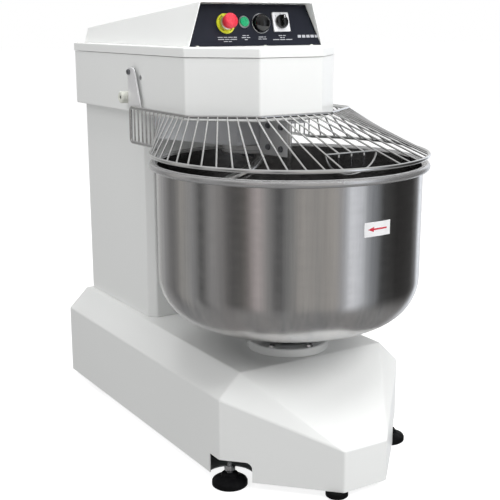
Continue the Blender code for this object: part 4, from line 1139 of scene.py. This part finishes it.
def wire_ends(top, bottom):
    """Top and bottom of each wire: upright along the side rods, then fanned out evenly round the ring."""
    upper, lower = path_length(top), path_length(bottom)
    count = 2 * round(upper / WIRE_PITCH / 2)
    pitch = upper / count
    straight = pitch * STRAIGHT_WIRES
    spread = (lower - 2 * straight) / (count - 2 * STRAIGHT_WIRES)
    for i in range(1, count):
        if i <= STRAIGHT_WIRES:
            down = pitch * i
        elif i >= count - STRAIGHT_WIRES:
            down = lower - pitch * (count - i)
        else:
            down = straight + spread * (i - STRAIGHT_WIRES)
        yield along(top, pitch * i), along(bottom, down)


def wire_paths(top, bottom):
    """The wires, the feed opening's hoop and its hangers. The front wires hook round the opening's bar."""
    ends = list(wire_ends(top, bottom))
    middle = len(ends) // 2
    left, right = (ends[middle + steps][0].lerp(ends[middle + steps][1], FEED_BAR)
                   for steps in (-FEED_STEPS, FEED_STEPS))
    half, centre = (right - left) / 2, (left + right) / 2
    hoop = [centre + half * x - UP * FEED_DROP * z for x, z in arc((0, 0), 1.0, 180, 0, 28)]
    paths, hangers = [[left, right]], []
    for i, (head, foot) in enumerate(ends):
        share = (i - middle) / FEED_STEPS
        if abs(share) < 1:
            bend = centre + half * share
            hook = bend - UP * 7 * MM
            hangers.append([hook, bend - UP * FEED_DROP * math.sqrt(1 - share * share)])
            paths.append(fillet_path([head, bend, hook], 4 * MM, 5))
        else:
            way = (foot - head).normalized()
            paths.append([head - way * 1.0 * MM, foot + way * 0.5 * MM])
    return paths, hoop, hangers


def guard():
    """Welded wire guard: a closed frame rod, with wires that stand on the sides and fan out over the bowl."""
    top, bottom = guard_paths()
    frame_rod = fillet_path(top + bottom[::-1], 11 * MM, 6, closed=True)
    shape = add_tube(bmesh.new(), frame_rod, ROD, 16, closed=True)
    wires, hoop, hangers = wire_paths(top, bottom)
    for path in wires:
        add_tube(shape, path, WIRE_RADIUS, 10)
    finished("guard_wires", shape, "bright_wire", "guard", "guard_grid", smooth=50)
    hung = add_tube(bmesh.new(), hoop, WIRE_RADIUS, 10)
    finished("guard_hoop", hung, "bright_wire", "guard", "guard_feed_hoop", smooth=50)
    shaded = bmesh.new()
    for path in hangers:
        add_tube(shaded, path, HANGER_RADIUS, 8)
    finished("guard_hangers", shaded, "shaded_wire", "guard", smooth=50)


def guard_mounts():
    """Swinging brackets, shouldered pivot bolts and nylon stops on both sides of the head."""
    for side, sign in (("left", -1), ("right", 1)):
        low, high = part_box(f"guard_{side}_bracket")
        inner, outer = (low.x, high.x) if sign > 0 else (high.x, low.x)
        y0, y1, z0, z1 = low.y, high.y, low.z, high.z
        corners = [(y0, z0), (y1 - 0.4 * MM, z0), (y1, z1 - 8 * MM), (y1 - 4.4 * MM, z1), (y0 + 35 * MM, z1),
                   (y0 + 28 * MM, z1 - 6 * MM)]
        outline = outline_rounded([Vector((inner, y, z)) for y, z in corners], 5 * MM)
        shape = add_prism(bmesh.new(), outline, (outer - inner, 0, 0))
        plate = finished(f"{side}_bracket_plate", shape, "plate_steel", "guard",
                         f"guard_{side}_bracket", smooth=None)
        carve(plate, bore(Vector((inner, GUARD_PIVOT.y, GUARD_PIVOT.z)), RIGHT, 5.4 * MM, 20 * MM, 32))
        soften(plate, 0.7 * MM, 3)
        ends = [Vector(((inner + outer) / 2, y, z0 - 0.6 * MM)) for y in (y0 + 1 * MM, y1 - 2 * MM)]
        seam = add_tube(bmesh.new(), ends, 1.6 * MM, 10)
        finished(f"{side}_bracket_weld", seam, "plate_steel", "guard")
        pivot(side, sign, inner, outer)
        stop(side, sign)


def pivot(side, sign, inner, outer):
    """The bolt the guard swings on, and the small screw beside it in the head's wall."""
    low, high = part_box(f"guard_{side}_pivot")
    wall, tip = (high.x, low.x) if sign < 0 else (low.x, high.x)
    base = Vector((wall, GUARD_PIVOT.y, GUARD_PIVOT.z))
    reach = abs(inner - wall) - 0.4 * MM
    beyond = abs(outer - wall) + 0.4 * MM
    end = abs(tip - wall)
    crown, socket = end - 0.2 * MM, end - 2.4 * MM
    profile = [(0, 0), (9.8 * MM, 0), (9.8 * MM, reach), (5 * MM, reach), (5 * MM, beyond), (6 * MM, beyond),
               (6 * MM, end - 1.8 * MM), (4.8 * MM, crown), (2.9 * MM, crown), (2.6 * MM, socket),
               (0, socket)]
    shape = turned(rounded(profile, 0.5 * MM, 2), base, (sign, 0, 0), 48)
    finished(f"{side}_pivot_bolt", shape, "dark_bolt", "machine", f"guard_{side}_pivot")
    head_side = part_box("head_casing")[0 if sign < 0 else 1].x
    place = Vector((head_side, GUARD_PIVOT.y - 34 * MM, GUARD_PIVOT.z - 11 * MM))
    screw = cross_screw(bmesh.new(), place, (sign, 0, 0), 5 * MM, 2.4 * MM)
    finished(f"{side}_head_screw", screw, "zinc", "machine")


def stop(side, sign):
    """The nylon buffer the guard rests on, with a screw sunk in it."""
    low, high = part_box(f"guard_{side}_stop")
    base = (low + high) / 2
    base.x = high.x if sign < 0 else low.x
    length, radius = high.x - low.x, (high.z - low.z) / 2
    sunk = length - 5 * MM
    profile = [(0, 0), (radius, 0), (radius, length - 2 * MM), (radius - 2 * MM, length), (4.6 * MM, length),
               (4.2 * MM, sunk), (0, sunk)]
    shape = turned(rounded(profile, 1.2 * MM, 4), base, (sign, 0, 0), 64)
    finished(f"{side}_stop_buffer", shape, "nylon", "machine", f"guard_{side}_stop")
    screw = hex_bolt(bmesh.new(), base + RIGHT * sign * (sunk + 0.1 * MM), (sign, 0, 0), 8 * MM, 3 * MM)
    finished(f"{side}_stop_screw", screw, "cast", "machine", smooth=30)


# ------------------------ CAD nodes kept


CAD_LOOKS = {
    "chassis": ("floor_plate", "base_chassis"),
    "enamel": ("rear_cover",),
    "zinc": ("rear_left_wheel_fork", "rear_right_wheel_fork", "bowl_bearing", "spiral_shaft",
             "spiral_bearing"),
    "cast": ("bowl_hub", "spiral_bearing_housing"),
    "aluminium": ("bowl_pulley", "bowl_motor_pulley", "spiral_pulley", "spiral_motor_pulley"),
    "rubber": ("bowl_belt", "spiral_belt"),
    "motor": ("bowl_gearmotor", "spiral_motor"),
}


def dress_cad_nodes():
    """The remaining CAD nodes keep their shape, with eased edges and finished materials."""
    for material, names in CAD_LOOKS.items():
        for name in names:
            node = frame["nodes"][name]
            node.data.materials.clear()
            node.data.materials.append(MATERIALS[material])
            modify(node, "WELD", merge_threshold=0.01 * MM)
            modify(node, "BEVEL", width=0.5 * MM, segments=2, limit_method="ANGLE",
                   angle_limit=math.radians(40), use_clamp_overlap=True)


# ------------------------ studio


# The room's walls as (azimuth in degrees from +X towards +Y, brightness, tint)
ROOM_WALLS = (
    (-180, 0.20, "plain"), (-170, 0.11, "plain"), (-162, 0.14, "warm"), (-150, 0.55, "pink"),
    (-141, 0.30, "plain"), (-132, 0.12, "plain"), (-124, 0.26, "plain"), (-112, 0.48, "warm"),
    (-96, 0.44, "warm"), (-84, 0.48, "warm"), (-76, 0.50, "cool"), (-71, 1.05, "cool"), (-62, 0.95, "cool"),
    (-54, 0.42, "cool"), (-46, 0.30, "cool"), (-38, 0.07, "plain"), (-20, 0.04, "plain"), (4, 0.05, "plain"),
    (16, 0.20, "plain"), (27, 1.15, "cool"), (45, 0.70, "plain"), (70, 0.60, "plain"), (95, 0.42, "plain"),
    (118, 0.20, "plain"), (132, 0.42, "warm"), (146, 0.40, "plain"), (156, 0.10, "plain"),
    (168, 0.40, "plain"), (176, 0.30, "plain"),
)
TINTS = {
    "plain": (1, 1, 1), "warm": (1.03, 1.0, 0.95), "cool": (0.95, 0.99, 1.05), "pink": (1.06, 0.97, 0.97),
}
CEILING, UNDERSIDE, DOME_LOW, DOME_HIGH = 0.55, 0.3, 0.63, 0.48  # levels of the room and its soft light
LIGHTS = (  # name, place, target, width, power
    ("key", (1.0, -2.4, 2.3), (0.0, -0.1, 0.6), 1.6, 58.8),
    ("top", (0.1, -0.3, 3.0), (0.0, 0.0, 0.3), 2.4, 72.6),
    ("left_high", (-2.4, -0.2, 2.7), (0.0, 0.1, 0.4), 1.6, 17.7),
)
FLOOR_SIZE, FLOOR_GLOW = 30.0, 0.8
LENS, SENSOR, SHIFT = 71.1, 36.0, (-0.0181, 0.0018)
CAMERA_PLACE, CAMERA_PITCH, CAMERA_TURN = (-1.1541, -1.8955, 0.9229), 76.88, -32.45


def floor():
    """A wide sheet of pale paper that only the camera sees."""
    shape = bmesh.new()
    bmesh.ops.create_grid(shape, x_segments=1, y_segments=1, size=FLOOR_SIZE)
    piece = new_object("floor", shape)
    shader = Shader("floor_paper", (0.45, 0.45, 0.45), roughness=0.9, Specular_IOR_Level=0.0)
    cloud = shader.remap(shader.noise(0.8, 3))
    shader.colour(shader.blend(cloud, (0.445, 0.445, 0.445), (0.455, 0.455, 0.455)))
    shader.put("Emission Color", (1, 1, 1, 1))
    shader.put("Emission Strength", FLOOR_GLOW)
    piece.data.materials.append(shader.material)
    piece.visible_glossy = piece.visible_diffuse = False


def area_light(name, place, target, width, power):
    light = bpy.data.lights.new(name, "AREA")
    light.shape = "RECTANGLE"
    light.size = light.size_y = width
    light.energy = power
    thing = bpy.data.objects.new(name, light)
    thing.location = place
    thing.rotation_euler = (Vector(target) - Vector(place)).to_track_quat("-Z", "Y").to_euler()
    thing.visible_glossy = False
    bpy.context.scene.collection.objects.link(thing)


class Room(Tree):
    """The world's shader: one look for the camera, one for reflections and one for soft light."""

    def __init__(self, world):
        super().__init__(world)
        self.tree.nodes.clear()

    def towards(self, value, start, end, colour, level):
        """Carries colour to a grey of this level as value goes from start to end."""
        return self.blend(self.remap(value, 0.0, 1.0, start, end), colour, (level, level, level))

    def background(self, colour):
        made = self.node("ShaderNodeBackground")
        if isinstance(colour, tuple):
            made.inputs["Color"].default_value = colour
        else:
            self.link(colour, made.inputs["Color"])
        return made.outputs[0]

    def choose(self, test, first, second):
        made = self.node("ShaderNodeMixShader")
        for socket, start in zip(made.inputs, (test, first, second)):
            self.link(start, socket)
        return made.outputs[0]


def wall_colours(room, azimuth):
    """The walls' brightness and tint round the room; azimuth goes from 0 to 1 in one turn."""
    walls = room.node("ShaderNodeValToRGB")
    walls.color_ramp.interpolation = "EASE"
    elements = walls.color_ramp.elements
    elements.remove(elements[-1])
    for number, (degrees, level, tint) in enumerate(ROOM_WALLS):
        place = (degrees + 180) / 360
        element = elements.new(place) if number else elements[0]
        element.position = place
        element.color = (*(level * share for share in TINTS[tint]), 1)
    room.link(azimuth, walls.inputs["Fac"])
    return walls.outputs["Color"]


def studio_world():
    """White to the camera, a dim room with a few bright walls to reflections, an even dome to soft light."""
    world = bpy.data.worlds.new("studio")
    bpy.context.scene.world = world
    room = Room(world)
    source = room.node("ShaderNodeTexCoord")
    parts = room.node("ShaderNodeSeparateXYZ")
    room.link(source.outputs["Generated"], parts.inputs[0])
    turn = room.node("ShaderNodeMath", operation="ARCTAN2")
    room.link(parts.outputs["Y"], turn.inputs[0])
    room.link(parts.outputs["X"], turn.inputs[1])
    height = parts.outputs["Z"]
    walls = wall_colours(room, room.remap(turn.outputs[0], 0.0, 1.0, -math.pi, math.pi))
    walls = room.towards(height, 0.35, 0.8, walls, CEILING)
    walls = room.towards(height, -0.38, -0.6, walls, UNDERSIDE)
    dome = room.towards(height, -0.3, 0.3, (DOME_LOW, DOME_LOW, DOME_LOW), DOME_HIGH)
    path = room.node("ShaderNodeLightPath")
    shader = room.choose(path.outputs["Is Diffuse Ray"], room.background(walls), room.background(dome))
    shader = room.choose(path.outputs["Is Camera Ray"], shader, room.background((1, 1, 1, 1)))
    room.link(shader, room.node("ShaderNodeOutputWorld").inputs["Surface"])


def camera():
    """Stands off the machine's front left corner at head height, looking slightly down."""
    data = bpy.data.cameras.new("camera")
    data.lens, data.sensor_width = LENS, SENSOR
    data.shift_x, data.shift_y = SHIFT
    data.clip_start, data.clip_end = 0.05, 100.0
    thing = bpy.data.objects.new("camera", data)
    thing.location = CAMERA_PLACE
    thing.rotation_euler = (math.radians(CAMERA_PITCH), 0, math.radians(CAMERA_TURN))
    bpy.context.scene.collection.objects.link(thing)
    bpy.context.scene.camera = thing


base_casing()
column_and_head()
rear_cover()
levelling_feet()
nose_foot()
rear_wheels()
control_panel()
emergency_stop()
start_button()
jog_button()
selector()
bowl()
bowl_collar()
spiral()
underhead_cover()
breaker()
guard()
guard_mounts()
dress_cad_nodes()
floor()
studio_world()
for settings in LIGHTS:
    area_light(*settings)
camera()
bpy.context.scene.view_settings.view_transform = "Standard"
